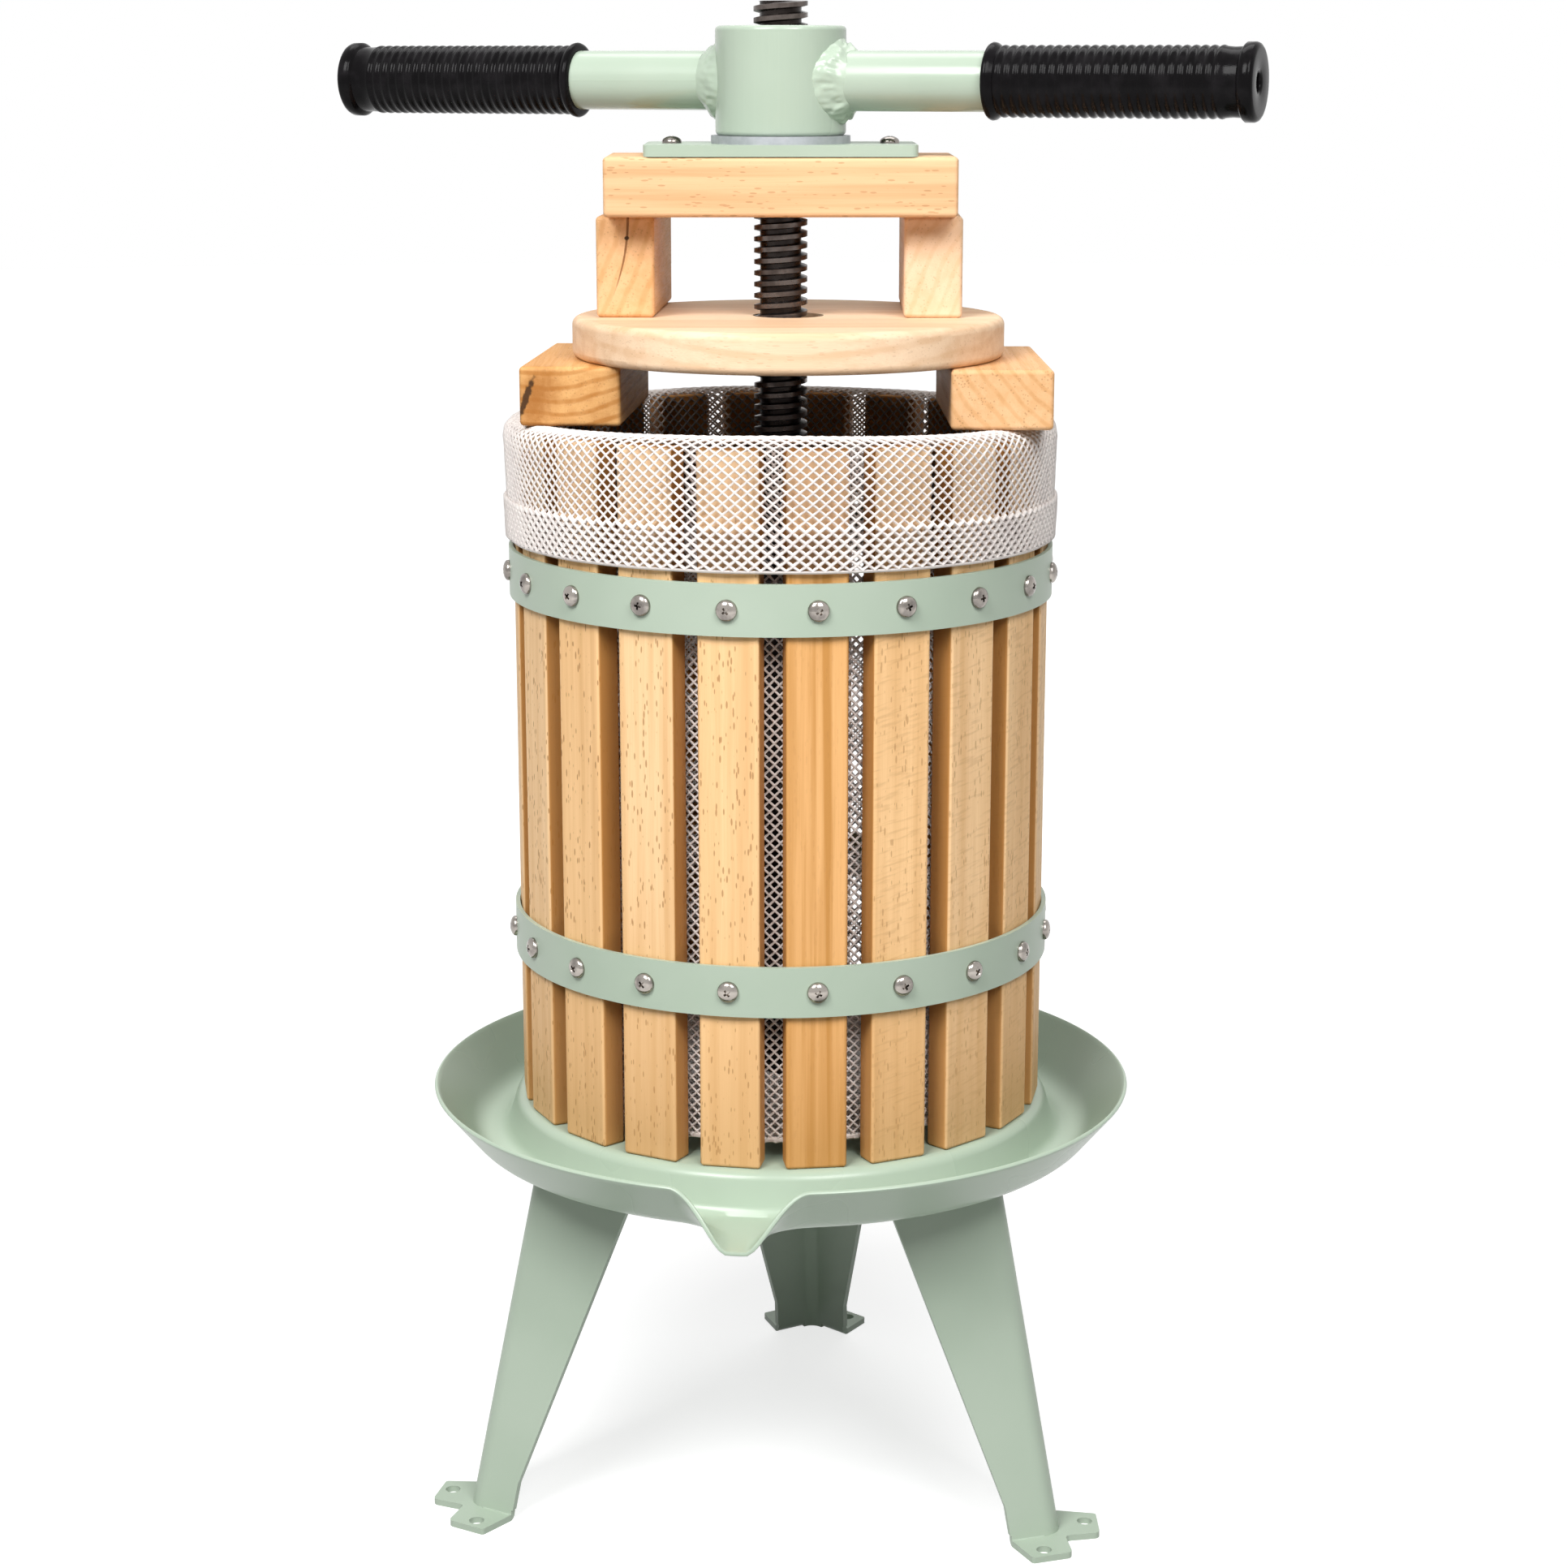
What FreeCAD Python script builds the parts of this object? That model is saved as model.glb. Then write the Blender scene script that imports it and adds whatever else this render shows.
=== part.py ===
import FreeCAD, Part
import math
import os

import Sketcher

# A basket fruit press. Origin: on the screw's axis at the floor. +Z is up, the spout points along -Y.
# Millimetres and degrees. Each body is modelled about the screw's axis and turned to its place.

DRIVING_SIZES = {
    # pressed juice pan
    "pan_sheet": 2.0,
    "pan_rim_radius": 161.2,
    "pan_depth": 24.2,
    "pan_floor_height": 171.5,
    "pan_floor_radius": 141.0,
    "pan_wall_bend": 18.0,
    "platform_rise": 18.5,
    "platform_radius": 124.5,
    "platform_step": 3.0,
    "platform_bend": 4.0,
    "spout_drop": 0.6,
    "spout_bottom_radius": 10.0,
    "spout_side_angle": 58.0,
    "spout_side_height": 15.5,
    "spout_flare": 9.0,
    "spout_bend": 8.0,
    "spout_lip_radius": 171.5,
    "spout_lip_lean": 6.5,
    # legs, each folded from sheet
    "leg_sheet": 3.0,
    "leg_foot_radius": 160.3,
    "leg_lean": 0.2155,
    "leg_half_angle": 53.5,
    "leg_foot_width": 24.0,
    "leg_straight_height": 18.0,
    "leg_widening": 0.2167,
    "leg_fold_radius": 9.0,
    "leg_heel_height": 5.0,
    "tab_length": 18.0,
    "tab_bend_radius": 2.0,
    "tab_start": 8.0,
    "tab_slant": 3.1,
    "tab_end_corner": 1.5,
    "tab_heel_along": 1.6,
    "tab_heel_corner": 3.0,
    "web_reach": 2.2,
    "web_corner": 2.5,
    "tab_hole_radius": 3.5,
    "tab_hole_along": 13.2,
    "tab_hole_out": 12.0,
    "flange_start": 28.0,
    "flange_width": 24.0,
    "flange_depth": 22.0,
    "leg_rear_azimuth": 90.0,
    # bolts of the legs
    "bolt_radius": 3.0,
    "bolt_head_radius": 7.5,
    "bolt_head_height": 3.0,
    "bolt_length": 16.0,
    "bolt_washer_radius": 6.5,
    "bolt_washer_thickness": 1.2,
    "bolt_nut_flats": 10.0,
    "bolt_nut_height": 5.0,
    "hole_clearance": 0.2,
    "screw_tip_share": 0.4,
    "screw_head_round_share": 0.75,
    # press screw and what holds it
    "screw_radius": 12.0,
    "screw_pitch": 5.0,
    "screw_stand_out": 10.6,
    "screw_tail": 28.0,
    "screw_flank_angle": 15.0,
    "screw_crest_share": 0.366,
    "screw_root_gap": 0.25,
    "screw_chamfer": 1.5,
    "screw_end_chamfer": 1.0,
    "spindle_flange_radius": 35.0,
    "spindle_flange_thickness": 5.0,
    "spindle_washer_radius": 28.0,
    "spindle_washer_thickness": 4.0,
    "spindle_nut_flats": 36.0,
    "spindle_nut_height": 18.0,
    "running_clearance": 0.05,
    # basket
    "slat_count": 20,
    "slat_width": 27.0,
    "slat_thickness": 12.0,
    "slat_length": 316.0,
    "slat_edge": 1.6,
    "slat_phase": 13.8,
    "hoop_inner_radius": 122.0,
    "hoop_thickness": 2.0,
    "hoop_width": 22.5,
    "hoop_upper_top": 260.0,
    "hoop_lower_top": 92.8,
    "wood_clearance": 0.05,
    "basket_screw_radius": 2.0,
    "basket_screw_length": 11.0,
    "basket_screw_head_radius": 4.7,
    "basket_screw_head_height": 3.0,
    # press bag
    "bag_thickness": 1.2,
    "bag_gap": 0.65,
    "bag_fold_drop": 53.0,
    "bag_fold_radius": 124.6,
    "bag_hem_gap": 0.3,
    "bag_rim_lift": 0.9,
    "bag_rim_bend": 5.0,
    "bag_lip_bend": 0.9,
    "bag_floor_lift": 2.4,
    "bag_floor_bend": 9.0,
    "bag_eye_gap": 1.5,
    # pressing blocks, cut from one stock
    "stack_azimuth": 6.4,
    "block_depth": 44.5,
    "block_thickness": 26.0,
    "wood_edge": 2.0,
    "lower_block_length": 116.0,
    "lower_left_reach": 88.2,
    "lower_left_setback": 4.4,
    "lower_left_turn": -3.7,
    "lower_right_reach": 95.2,
    "lower_right_setback": -11.0,
    "lower_right_turn": 0.5,
    "upper_block_length": 100.0,
    "upper_left_reach": 67.0,
    "upper_left_setback": 35.5,
    "upper_left_turn": -2.4,
    "upper_right_reach": 68.4,
    "upper_right_setback": 33.2,
    "upper_right_turn": -0.8,
    # pressing disc
    "disc_radius": 97.1,
    "disc_thickness": 18.0,
    "disc_edge": 3.5,
    "disc_bore_radius": 16.0,
    "disc_offset": 3.4,
    # crosshead
    "beam_length": 155.2,
    "beam_depth": 64.0,
    "beam_gap": 0.3,
    "beam_bore_radius": 14.0,
    "plate_length": 120.0,
    "plate_thickness": 5.0,
    "plate_corner": 3.0,
    "plate_screw_spacing": 96.8,
    "plate_screw_radius": 2.2,
    "plate_screw_length": 18.0,
    "plate_screw_head_radius": 4.6,
    "plate_screw_head_height": 2.8,
    "washer_radius": 31.0,
    "washer_thickness": 3.5,
    "washer_bore_radius": 12.6,
    # handle
    "hub_radius": 29.0,
    "hub_height": 47.3,
    "hub_edge": 2.0,
    "handle_height_in_hub": 23.6,
    "handle_azimuth": -16.0,
    "tube_radius": 13.0,
    "tube_wall": 2.5,
    "handle_half_length": 216.5,
    "weld_gap": 0.05,
    "weld_radius": 18.0,
    "weld_reach": 35.0,
    "grip_start": 98.0,
    "grip_radius": 15.2,
    "grip_collar_radius": 16.6,
    "grip_collar_width": 5.0,
    "grip_end_wall": 3.0,
    "grip_end_hole_radius": 4.0,
    "grip_fit": 0.1,
    "grip_edge": 1.2,
}

DERIVED_SIZES = {
    "pan_rim_height": "=pan_floor_height + pan_depth",
    "platform_top": "=pan_floor_height + platform_rise",
    "platform_under": "=platform_top - pan_sheet",
    "leg_top_radius": "=leg_foot_radius - leg_lean * platform_under",
    "leg_straight_radius": "=leg_foot_radius - leg_lean * leg_straight_height",
    "leg_top_width": "=leg_foot_width + leg_widening * (platform_under - leg_straight_height)",
    "flange_under": "=platform_under - leg_sheet",
    "bolt_hole_radius": "=bolt_radius + hole_clearance",
    "spindle_bottom": "=platform_top - screw_tail",
    "spindle_bore_radius": "=screw_radius + running_clearance",
    "hoop_outer_radius": "=hoop_inner_radius + hoop_thickness",
    "slat_outer_radius": "=sqrt(hoop_inner_radius ^ 2 - slat_width ^ 2 / 4) - wood_clearance",
    "slat_inner_radius": "=slat_outer_radius - slat_thickness",
    "slat_top": "=platform_top + slat_length",
    "hoop_upper_height": "=platform_top + hoop_upper_top - hoop_width",
    "hoop_lower_height": "=platform_top + hoop_lower_top - hoop_width",
    "pilot_radius": "=basket_screw_radius + wood_clearance",
    "bag_rim_height": "=slat_top + bag_rim_lift + bag_thickness / 2",
    "bag_top": "=bag_rim_height + bag_thickness / 2",
    "bag_liner_radius": "=slat_inner_radius - bag_gap - bag_thickness / 2",
    "bag_floor_height": "=platform_top + spindle_flange_thickness + bag_floor_lift + bag_thickness / 2",
    "disc_bottom": "=bag_top + block_thickness",
    "disc_top": "=disc_bottom + disc_thickness",
    "upper_block_top": "=disc_top + block_depth",
    "beam_bottom": "=upper_block_top + beam_gap",
    "plate_bottom": "=beam_bottom + block_thickness",
    "washer_bottom": "=plate_bottom + plate_thickness",
    "hub_bottom": "=washer_bottom + washer_thickness",
    "hub_top": "=hub_bottom + hub_height",
    "screw_top_height": "=hub_top + screw_stand_out",
    "handle_height": "=hub_bottom + handle_height_in_hub",
    "plate_pilot_radius": "=plate_screw_radius + wood_clearance",
    "grip_bore_radius": "=tube_radius + grip_fit",
    "grip_end": "=handle_half_length - grip_end_wall",
}

UP = FreeCAD.Vector(0, 0, 1)
SAME_POINT = 1e-6

doc = FreeCAD.newDocument("basket_press")
sheet = doc.addObject("Spreadsheet::Sheet", "Sizes")
probe = doc.addObject("Spreadsheet::Sheet", "Probe")
pieces = []


def fill_sheet():
    """Writes every size with its alias, the driving ones first."""
    rows = [(word, str(value)) for word, value in DRIVING_SIZES.items()]
    rows += list(DERIVED_SIZES.items())
    for row, (word, content) in enumerate(rows, start=1):
        sheet.set(f"A{row}", word)
        sheet.set(f"B{row}", content)
        sheet.setAlias(f"B{row}", word)
    doc.recompute()


def size(word):
    """The number that a cell holds."""
    return float(sheet.get(word))


def number(expression):
    """The number that an expression over the sheet gives, read through a sheet of its own."""
    probe.set("A1", "=" + expression)
    probe.recompute()
    return float(probe.get("A1"))


# Sketches and features


def new_body(name):
    """A body that is written to parts/NAME.step."""
    body = doc.addObject("PartDesign::Body", name)
    body.Label = name
    pieces.append(body)
    return body


def new_feature(name, shape, azimuth=0.0, height=0.0):
    """A piece whose shape comes from Part's functions, turned about the screw's axis and raised."""
    feature = doc.addObject("Part::Feature", name)
    feature.Label = name
    feature.Shape = shape
    feature.Placement = FreeCAD.Placement(UP * height, FreeCAD.Rotation(UP, azimuth))
    pieces.append(feature)
    return feature


def place(body, azimuth="0", height="0", reach="0", setback="0"):
    """Binds a body's turn about +Z and its position."""
    body.Placement = FreeCAD.Placement(FreeCAD.Vector(), FreeCAD.Rotation(UP, 1.0))
    body.setExpression("Placement.Rotation.Angle", azimuth)
    body.setExpression("Placement.Base.x", reach)
    body.setExpression("Placement.Base.y", setback)
    body.setExpression("Placement.Base.z", height)


def place_in_stack(body, height, turn="0", across="0", along="0"):
    """Places a wooden piece in the pressing stack's own directions, which are turned from the spout's."""
    stack = "Sizes.stack_azimuth"
    reach = f"{across} * cos({stack}) - {along} * sin({stack})"
    setback = f"{across} * sin({stack}) + {along} * cos({stack})"
    place(body, f"{stack} + {turn}", height, reach, setback)


def origin_part(body, role):
    """One of the body's own origin planes or axes."""
    return next(part for part in body.Origin.OriginFeatures if part.Role == role)


def new_sketch(body, plane, name, offset="0"):
    """An empty sketch on an origin plane, moved along the plane's normal."""
    sketch = body.newObject("Sketcher::SketchObject", name)
    sketch.AttachmentSupport = (origin_part(body, plane), [""])
    sketch.MapMode = "FlatFace"
    sketch.setExpression("AttachmentOffset.Base.z", offset)
    return sketch


def hold(sketch, geometry, vertex, direction, expression):
    """Ties one coordinate of a sketch point to an expression, or to the axis where it is 0."""
    if expression == "0":
        axis_line = -2 if direction == "x" else -1
        sketch.addConstraint(Sketcher.Constraint("PointOnObject", geometry, vertex, axis_line))
        return
    kind = "DistanceX" if direction == "x" else "DistanceY"
    distance = number(expression)
    index = sketch.addConstraint(Sketcher.Constraint(kind, -1, 1, geometry, vertex, distance))
    sketch.setExpression(f"Constraints[{index}]", expression)


def draw_polygon(sketch, corners):
    """Closed straight lines through corners, each a pair of expressions."""
    points = [FreeCAD.Vector(number(across), number(along), 0) for across, along in corners]
    first = sketch.GeometryCount
    count = len(points)
    for i in range(count):
        sketch.addGeometry(Part.LineSegment(points[i], points[(i + 1) % count]), False)
    for i in range(count):
        sketch.addConstraint(Sketcher.Constraint("Coincident", first + i, 2, first + (i + 1) % count, 1))
    for i, (across, along) in enumerate(corners):
        hold(sketch, first + i, 1, "x", across)
        hold(sketch, first + i, 1, "y", along)


def draw_rectangle(sketch, left, right, bottom, top):
    """A rectangle between four expressions."""
    draw_polygon(sketch, [(left, bottom), (right, bottom), (right, top), (left, top)])


def draw_circle(sketch, radius, across="0", along="0"):
    """A circle with its radius and centre tied to expressions."""
    centre = FreeCAD.Vector(number(across), number(along), 0)
    circle = sketch.addGeometry(Part.Circle(centre, UP, number(radius)), False)
    index = sketch.addConstraint(Sketcher.Constraint("Radius", circle, number(radius)))
    sketch.setExpression(f"Constraints[{index}]", radius)
    hold(sketch, circle, 3, "x", across)
    hold(sketch, circle, 3, "y", along)


def pad(body, sketch, length, downward=False):
    """A pad of a sketch along its normal."""
    feature = body.newObject("PartDesign::Pad", sketch.Name + "_pad")
    feature.Profile = (sketch, [""])
    feature.Reversed = downward
    feature.setExpression("Length", length)
    sketch.Visibility = False
    return feature


def pocket(body, sketch, depth=None):
    """A pocket against the sketch's normal, or through the whole piece both ways."""
    feature = body.newObject("PartDesign::Pocket", sketch.Name + "_pocket")
    feature.Profile = (sketch, [""])
    if depth is None:
        feature.Type = "ThroughAll"
        feature.Midplane = True
    else:
        feature.setExpression("Length", depth)
    sketch.Visibility = False
    return feature


def revolve(body, sketch, axis):
    """A full turn of a sketch about one of its own axes."""
    feature = body.newObject("PartDesign::Revolution", sketch.Name + "_turned")
    feature.Profile = (sketch, [""])
    feature.ReferenceAxis = (sketch, [axis])
    feature.Angle = 360.0
    sketch.Visibility = False
    return feature


def round_edges(body, base, radius, wanted=None):
    """Fillets the wanted edges of a feature, or all of them."""
    doc.recompute()
    feature = body.newObject("PartDesign::Fillet", base.Name + "_round")
    if wanted is None:
        feature.Base = (base, [""])
        feature.UseAllEdges = True
    else:
        names = [f"Edge{i}" for i, edge in enumerate(base.Shape.Edges, start=1) if wanted(edge)]
        feature.Base = (base, names)
    feature.setExpression("Radius", radius)
    return feature


# Shapes from Part's own functions


def offset_corners(corners, distance):
    """An open run of corners moved sideways, to the left of its direction, with mitred corners."""
    steps = []
    for (x0, y0), (x1, y1) in zip(corners, corners[1:]):
        length = math.hypot(x1 - x0, y1 - y0)
        steps.append(((x1 - x0) / length, (y1 - y0) / length))
    moved = []
    for i, (x, y) in enumerate(corners):
        before = steps[max(i - 1, 0)]
        after = steps[min(i, len(steps) - 1)]
        across = (-(before[1] + after[1]) / 2, (before[0] + after[0]) / 2)
        share = distance / (across[0] ** 2 + across[1] ** 2)
        moved.append((x + across[0] * share, y + across[1] * share))
    return moved


def rounded_face(corners, radii, place_point):
    """A flat face through corners, each rounded by its own radius. place_point makes a vector of a pair."""
    count = len(corners)
    starts, arcs = [], []
    for i, radius in enumerate(radii):
        corner = FreeCAD.Vector(*corners[i], 0)
        to_last = (FreeCAD.Vector(*corners[i - 1], 0) - corner).normalize()
        to_next = (FreeCAD.Vector(*corners[(i + 1) % count], 0) - corner).normalize()
        if radius <= 0:
            starts.append((corner, corner))
            arcs.append(None)
            continue
        half = to_last.getAngle(to_next) / 2
        bisector = (to_last + to_next).normalize()
        reach = radius / math.tan(half)
        middle = corner + bisector * (radius / math.sin(half) - radius)
        starts.append((corner + to_last * reach, corner + to_next * reach))
        arcs.append(middle)
    edges = []
    for i in range(count):
        enter, leave = starts[i]
        if arcs[i] is not None:
            ends = [place_point(point.x, point.y) for point in (enter, arcs[i], leave)]
            edges.append(Part.Arc(*ends).toShape())
        following = starts[(i + 1) % count][0]
        if leave.distanceToPoint(following) > SAME_POINT:
            edges.append(Part.makeLine(place_point(leave.x, leave.y), place_point(following.x, following.y)))
    return Part.Face(Part.Wire(edges))


def upright(across, height):
    """A point of a section in the XZ plane."""
    return FreeCAD.Vector(across, 0, height)


def turned(corners, radii):
    """A solid turned about +Z from a section of (radius, height) corners."""
    face = rounded_face(corners, radii, upright)
    return face.revolve(FreeCAD.Vector(), UP, 360.0)


def dome_screw(head_radius, head_height, shank_radius, shank_length):
    """A pan head screw along +Z: the head stands above 0 and the shank hangs below it."""
    corners = [
        (0, -shank_length),
        (shank_radius * size("screw_tip_share"), -shank_length),
        (shank_radius, -shank_length + shank_radius),
        (shank_radius, 0),
        (head_radius, 0),
        (head_radius, head_height),
        (0, head_height),
    ]
    head_round = head_height * size("screw_head_round_share")
    return turned(corners, [0, 0, 0, 0, 0, head_round, 0])


def hexagon_nut(flats, height, bore_radius, bottom):
    """A hexagon nut on the axis."""
    corner_radius = flats / math.sqrt(3)
    corners = [
        FreeCAD.Vector(corner_radius * math.cos(turn), corner_radius * math.sin(turn), bottom)
        for turn in (math.radians(60 * i) for i in range(7))
    ]
    block = Part.Face(Part.makePolygon(corners)).extrude(FreeCAD.Vector(0, 0, height))
    return block.cut(Part.makeCylinder(bore_radius, height, FreeCAD.Vector(0, 0, bottom)))


def ring_solid(outer_radius, inner_radius, bottom, height):
    """A flat ring on the axis."""
    centre = FreeCAD.Vector(0, 0, bottom)
    blank = Part.makeCylinder(outer_radius, height, centre)
    return blank.cut(Part.makeCylinder(inner_radius, height, centre))


def copies(shape, placements):
    """A group of separate solids."""
    group = []
    for placement in placements:
        solid = shape.copy()
        solid.Placement = placement.multiply(solid.Placement)
        group.append(solid)
    return Part.makeCompound(group)


# The stand


def leg_face_steps():
    """Unit steps in plan along a leg's face from its fold, and outward from that face."""
    half_angle = math.radians(size("leg_half_angle"))
    return (-math.cos(half_angle), math.sin(half_angle)), (math.sin(half_angle), math.cos(half_angle))


def flange_bolt_place():
    """Radius from the screw's axis, and sideways, of a leg bolt in the frame of its leg."""
    along = size("flange_start") + size("flange_width") / 2
    inward = size("leg_sheet") + (size("flange_depth") - size("leg_sheet")) / 2
    run, out = leg_face_steps()
    radial = size("leg_top_radius") + along * run[0] - inward * out[0]
    return radial, along * run[1] - inward * out[1]


def leg_azimuths():
    """The three legs' directions."""
    return [size("leg_rear_azimuth") + 120.0 * i for i in range(3)]


def leg_bolt_placements():
    """Where the six leg bolts pass the platform's top, two to a leg."""
    radial, sideways = flange_bolt_place()
    placements = []
    for azimuth in leg_azimuths():
        turn = FreeCAD.Placement(FreeCAD.Vector(), FreeCAD.Rotation(UP, azimuth))
        for side in (-1, 1):
            shift = FreeCAD.Placement(FreeCAD.Vector(radial, side * sideways, 0), FreeCAD.Rotation())
            placements.append(turn.multiply(shift))
    return placements


def reach_height(corners, height):
    """Moves the last corner of a run along its last step to a height."""
    (x0, z0), (x1, z1) = corners[-2:]
    share = (height - z0) / (z1 - z0)
    return corners[:-1] + [(x0 + (x1 - x0) * share, height)]


def pan_cup(depth, top):
    """What fills the pan to a height, from a surface that lies depth under the pan's upper face."""
    floor = size("pan_floor_height")
    foot = size("platform_radius") + size("platform_step")
    surface = [
        (0, size("platform_top")),
        (size("platform_radius"), size("platform_top")),
        (foot, floor),
        (size("pan_floor_radius"), floor),
        (size("pan_rim_radius"), size("pan_rim_height")),
    ]
    bend = size("platform_bend")
    radii = [0, bend - depth, bend + depth, size("pan_wall_bend") + depth, 0, 0]
    return turned(reach_height(offset_corners(surface, -depth), top) + [(0, top)], radii)


def spout_trough(depth, top):
    """What fills the spout to a height, from a surface that lies depth outside its inner face."""
    radius, floor = size("spout_bottom_radius"), size("pan_floor_height") - size("spout_drop")
    angle = math.radians(size("spout_side_angle"))
    bottom_half = radius * math.tan(angle / 2)
    side_height = size("spout_side_height")
    side = (bottom_half + side_height / math.tan(angle), floor + side_height)
    rim = (side[0] + size("spout_flare"), size("pan_rim_height"))
    run = offset_corners([(-bottom_half, floor), (bottom_half, floor), side, rim], -depth)[1:]
    half = reach_height(run, top)
    bend = size("spout_bend") - depth
    corners = [(-x, z) for x, z in reversed(half)] + half
    radii = [0, bend, radius + depth, radius + depth, bend, 0]
    back = size("platform_radius") + 2 * size("platform_step")
    face = rounded_face(corners, radii, lambda x, z: FreeCAD.Vector(x, -back, z))
    return face.extrude(FreeCAD.Vector(0, back - size("spout_lip_radius"), 0))


def lip_trim():
    """What lies in front of the spout's leaning lip."""
    lip = size("spout_lip_radius")
    low = size("pan_floor_height") - 2 * size("pan_sheet")
    high = size("pan_rim_height") + size("pan_sheet")
    width = size("pan_rim_radius")
    section = [
        FreeCAD.Vector(-width / 2, -lip, low),
        FreeCAD.Vector(-width / 2, size("spout_lip_lean") - lip, high),
        FreeCAD.Vector(-width / 2, -lip - width, high),
        FreeCAD.Vector(-width / 2, -lip - width, low),
    ]
    return Part.Face(Part.makePolygon(section + section[:1])).extrude(FreeCAD.Vector(width, 0, 0))


def make_pan():
    """The pressed pan: platform, channel, flared wall and beak spout from one sheet."""
    sheet_depth, rim = size("pan_sheet"), size("pan_rim_height")
    outer = pan_cup(sheet_depth, rim).fuse(spout_trough(sheet_depth, rim))
    inner = pan_cup(0, rim + sheet_depth).fuse(spout_trough(0, rim + sheet_depth))
    pan = outer.cut(inner).cut(lip_trim())
    low = size("pan_floor_height")
    bore = Part.makeCylinder(size("spindle_bore_radius"), size("platform_rise"), FreeCAD.Vector(0, 0, low))
    pan = pan.cut(bore)
    bolt_hole = Part.makeCylinder(size("bolt_hole_radius"), size("platform_rise"), FreeCAD.Vector(0, 0, low))
    holes = copies(bolt_hole, leg_bolt_placements())
    return new_feature("juice_pan", pan.cut(holes).removeSplitter())


def leg_section(height):
    """The folded section of a leg at one height, in the frame of its leg."""
    thick = size("leg_sheet")
    fold = size("leg_foot_radius") - size("leg_lean") * height
    above_ankle = max(0.0, height - size("leg_straight_height"))
    width = size("leg_foot_width") + size("leg_widening") * above_ankle
    run, out = leg_face_steps()
    end = (fold + width * run[0], width * run[1])
    inner_end = (end[0] - thick * out[0], end[1] - thick * out[1])
    corners = [
        end,
        (fold, 0),
        (end[0], -end[1]),
        (inner_end[0], -inner_end[1]),
        (fold - thick / out[0], 0),
        inner_end,
    ]
    bend = size("leg_fold_radius")
    radii = [0, bend, 0, 0, bend - thick, 0]
    return rounded_face(corners, radii, lambda x, y: FreeCAD.Vector(x, y, height)).OuterWire


def face_point(along, outward, height):
    """A point beside one face of a leg: along it from the fold at the floor, and outward from it."""
    run, out = leg_face_steps()
    radial = size("leg_foot_radius") + along * run[0] + outward * out[0]
    return FreeCAD.Vector(radial, along * run[1] + outward * out[1], height)


def face_prism(corners, radii, place_point, run):
    """A prism from a section beside a leg's face."""
    return rounded_face(corners, radii, place_point).extrude(run)


def foot_tab():
    """A foot tab bent outward from the bottom of one face, with a slanted end and its bolt hole."""
    thick, bend = size("leg_sheet"), size("tab_bend_radius")
    start, end, tip = size("tab_start"), size("leg_foot_width"), size("tab_length")
    lean = size("leg_lean") * leg_face_steps()[1][0]
    knee = 2 * size("leg_heel_height")
    corners = [
        (tip, 0),
        (tip, thick),
        (-lean * thick, thick),
        (-lean * knee, knee),
        (-lean * knee - thick, knee),
        (-thick, 0),
    ]
    radii = [0, 0, bend - thick / 2, 0, 0, bend + thick / 2]
    along = face_point(end, 0, 0) - face_point(start, 0, 0)
    bracket = face_prism(corners, radii, lambda out, up: face_point(start, out, up), along)
    back = -4 * thick
    plan = [(start, back), (start, tip), (end - size("tab_slant"), tip), (end, 0), (end, back)]
    radii = [0, 0, size("tab_end_corner"), 0, 0]
    trim = face_prism(plan, radii, lambda run, out: face_point(run, out, 0), UP * knee)
    centre = face_point(size("tab_hole_along"), size("tab_hole_out"), 0)
    return bracket.common(trim).cut(Part.makeCylinder(size("tab_hole_radius"), thick, centre))


def mirrored(point):
    """A point's twin on the other side of its leg."""
    return FreeCAD.Vector(point.x, -point.y, point.z)


def foot_web():
    """The flat web that joins a foot's two tabs around the fold, with a notch between them."""
    start, heel, tip = size("tab_start"), size("tab_heel_along"), size("tab_length")
    side = [face_point(start, 0, 0), face_point(start, tip, 0), face_point(heel, tip, 0)]
    notch = FreeCAD.Vector(size("leg_foot_radius") + size("web_reach"), 0, 0)
    outline = side + [notch] + [mirrored(point) for point in reversed(side)]
    corner = size("tab_heel_corner")
    radii = [0, 0, corner, size("web_corner"), corner, 0, 0]
    corners = [(point.x, point.y) for point in outline]
    return face_prism(corners, radii, lambda x, y: FreeCAD.Vector(x, y, 0), UP * size("leg_sheet"))


def fold_heel():
    """The bottom of the fold, between the bends of the two tabs."""
    thick, top = size("leg_sheet"), size("leg_heel_height")
    side = [face_point(size("tab_start"), thick, 0), face_point(size("tab_start"), -2 * thick, 0)]
    front = FreeCAD.Vector(size("leg_foot_radius") + 2 * thick, 0, 0)
    outline = [front] + side + [mirrored(point) for point in reversed(side)] + [front]
    region = Part.Face(Part.makePolygon(outline)).extrude(UP * top)
    return Part.makeLoft([leg_section(0), leg_section(top)], True, True).common(region)


def top_flange():
    """A flange bent inward under the platform, with its bolt hole."""
    thick, under = size("leg_sheet"), size("platform_under")
    lean = size("leg_lean") * under
    run, out = leg_face_steps()
    start = size("flange_start") - lean * run[0]
    end = start + size("flange_width")
    near, far = -lean * out[0] - thick / 2, -lean * out[0] - size("flange_depth")
    plan = [(start, near), (start, far), (end, far), (end, near)]
    low = under - thick
    flange = face_prism(plan, [0] * len(plan), lambda x, y: face_point(x, y, low), UP * thick)
    radial, sideways = flange_bolt_place()
    hole = Part.makeCylinder(size("bolt_hole_radius"), thick, FreeCAD.Vector(radial, sideways, low))
    return flange.cut(hole)


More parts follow.
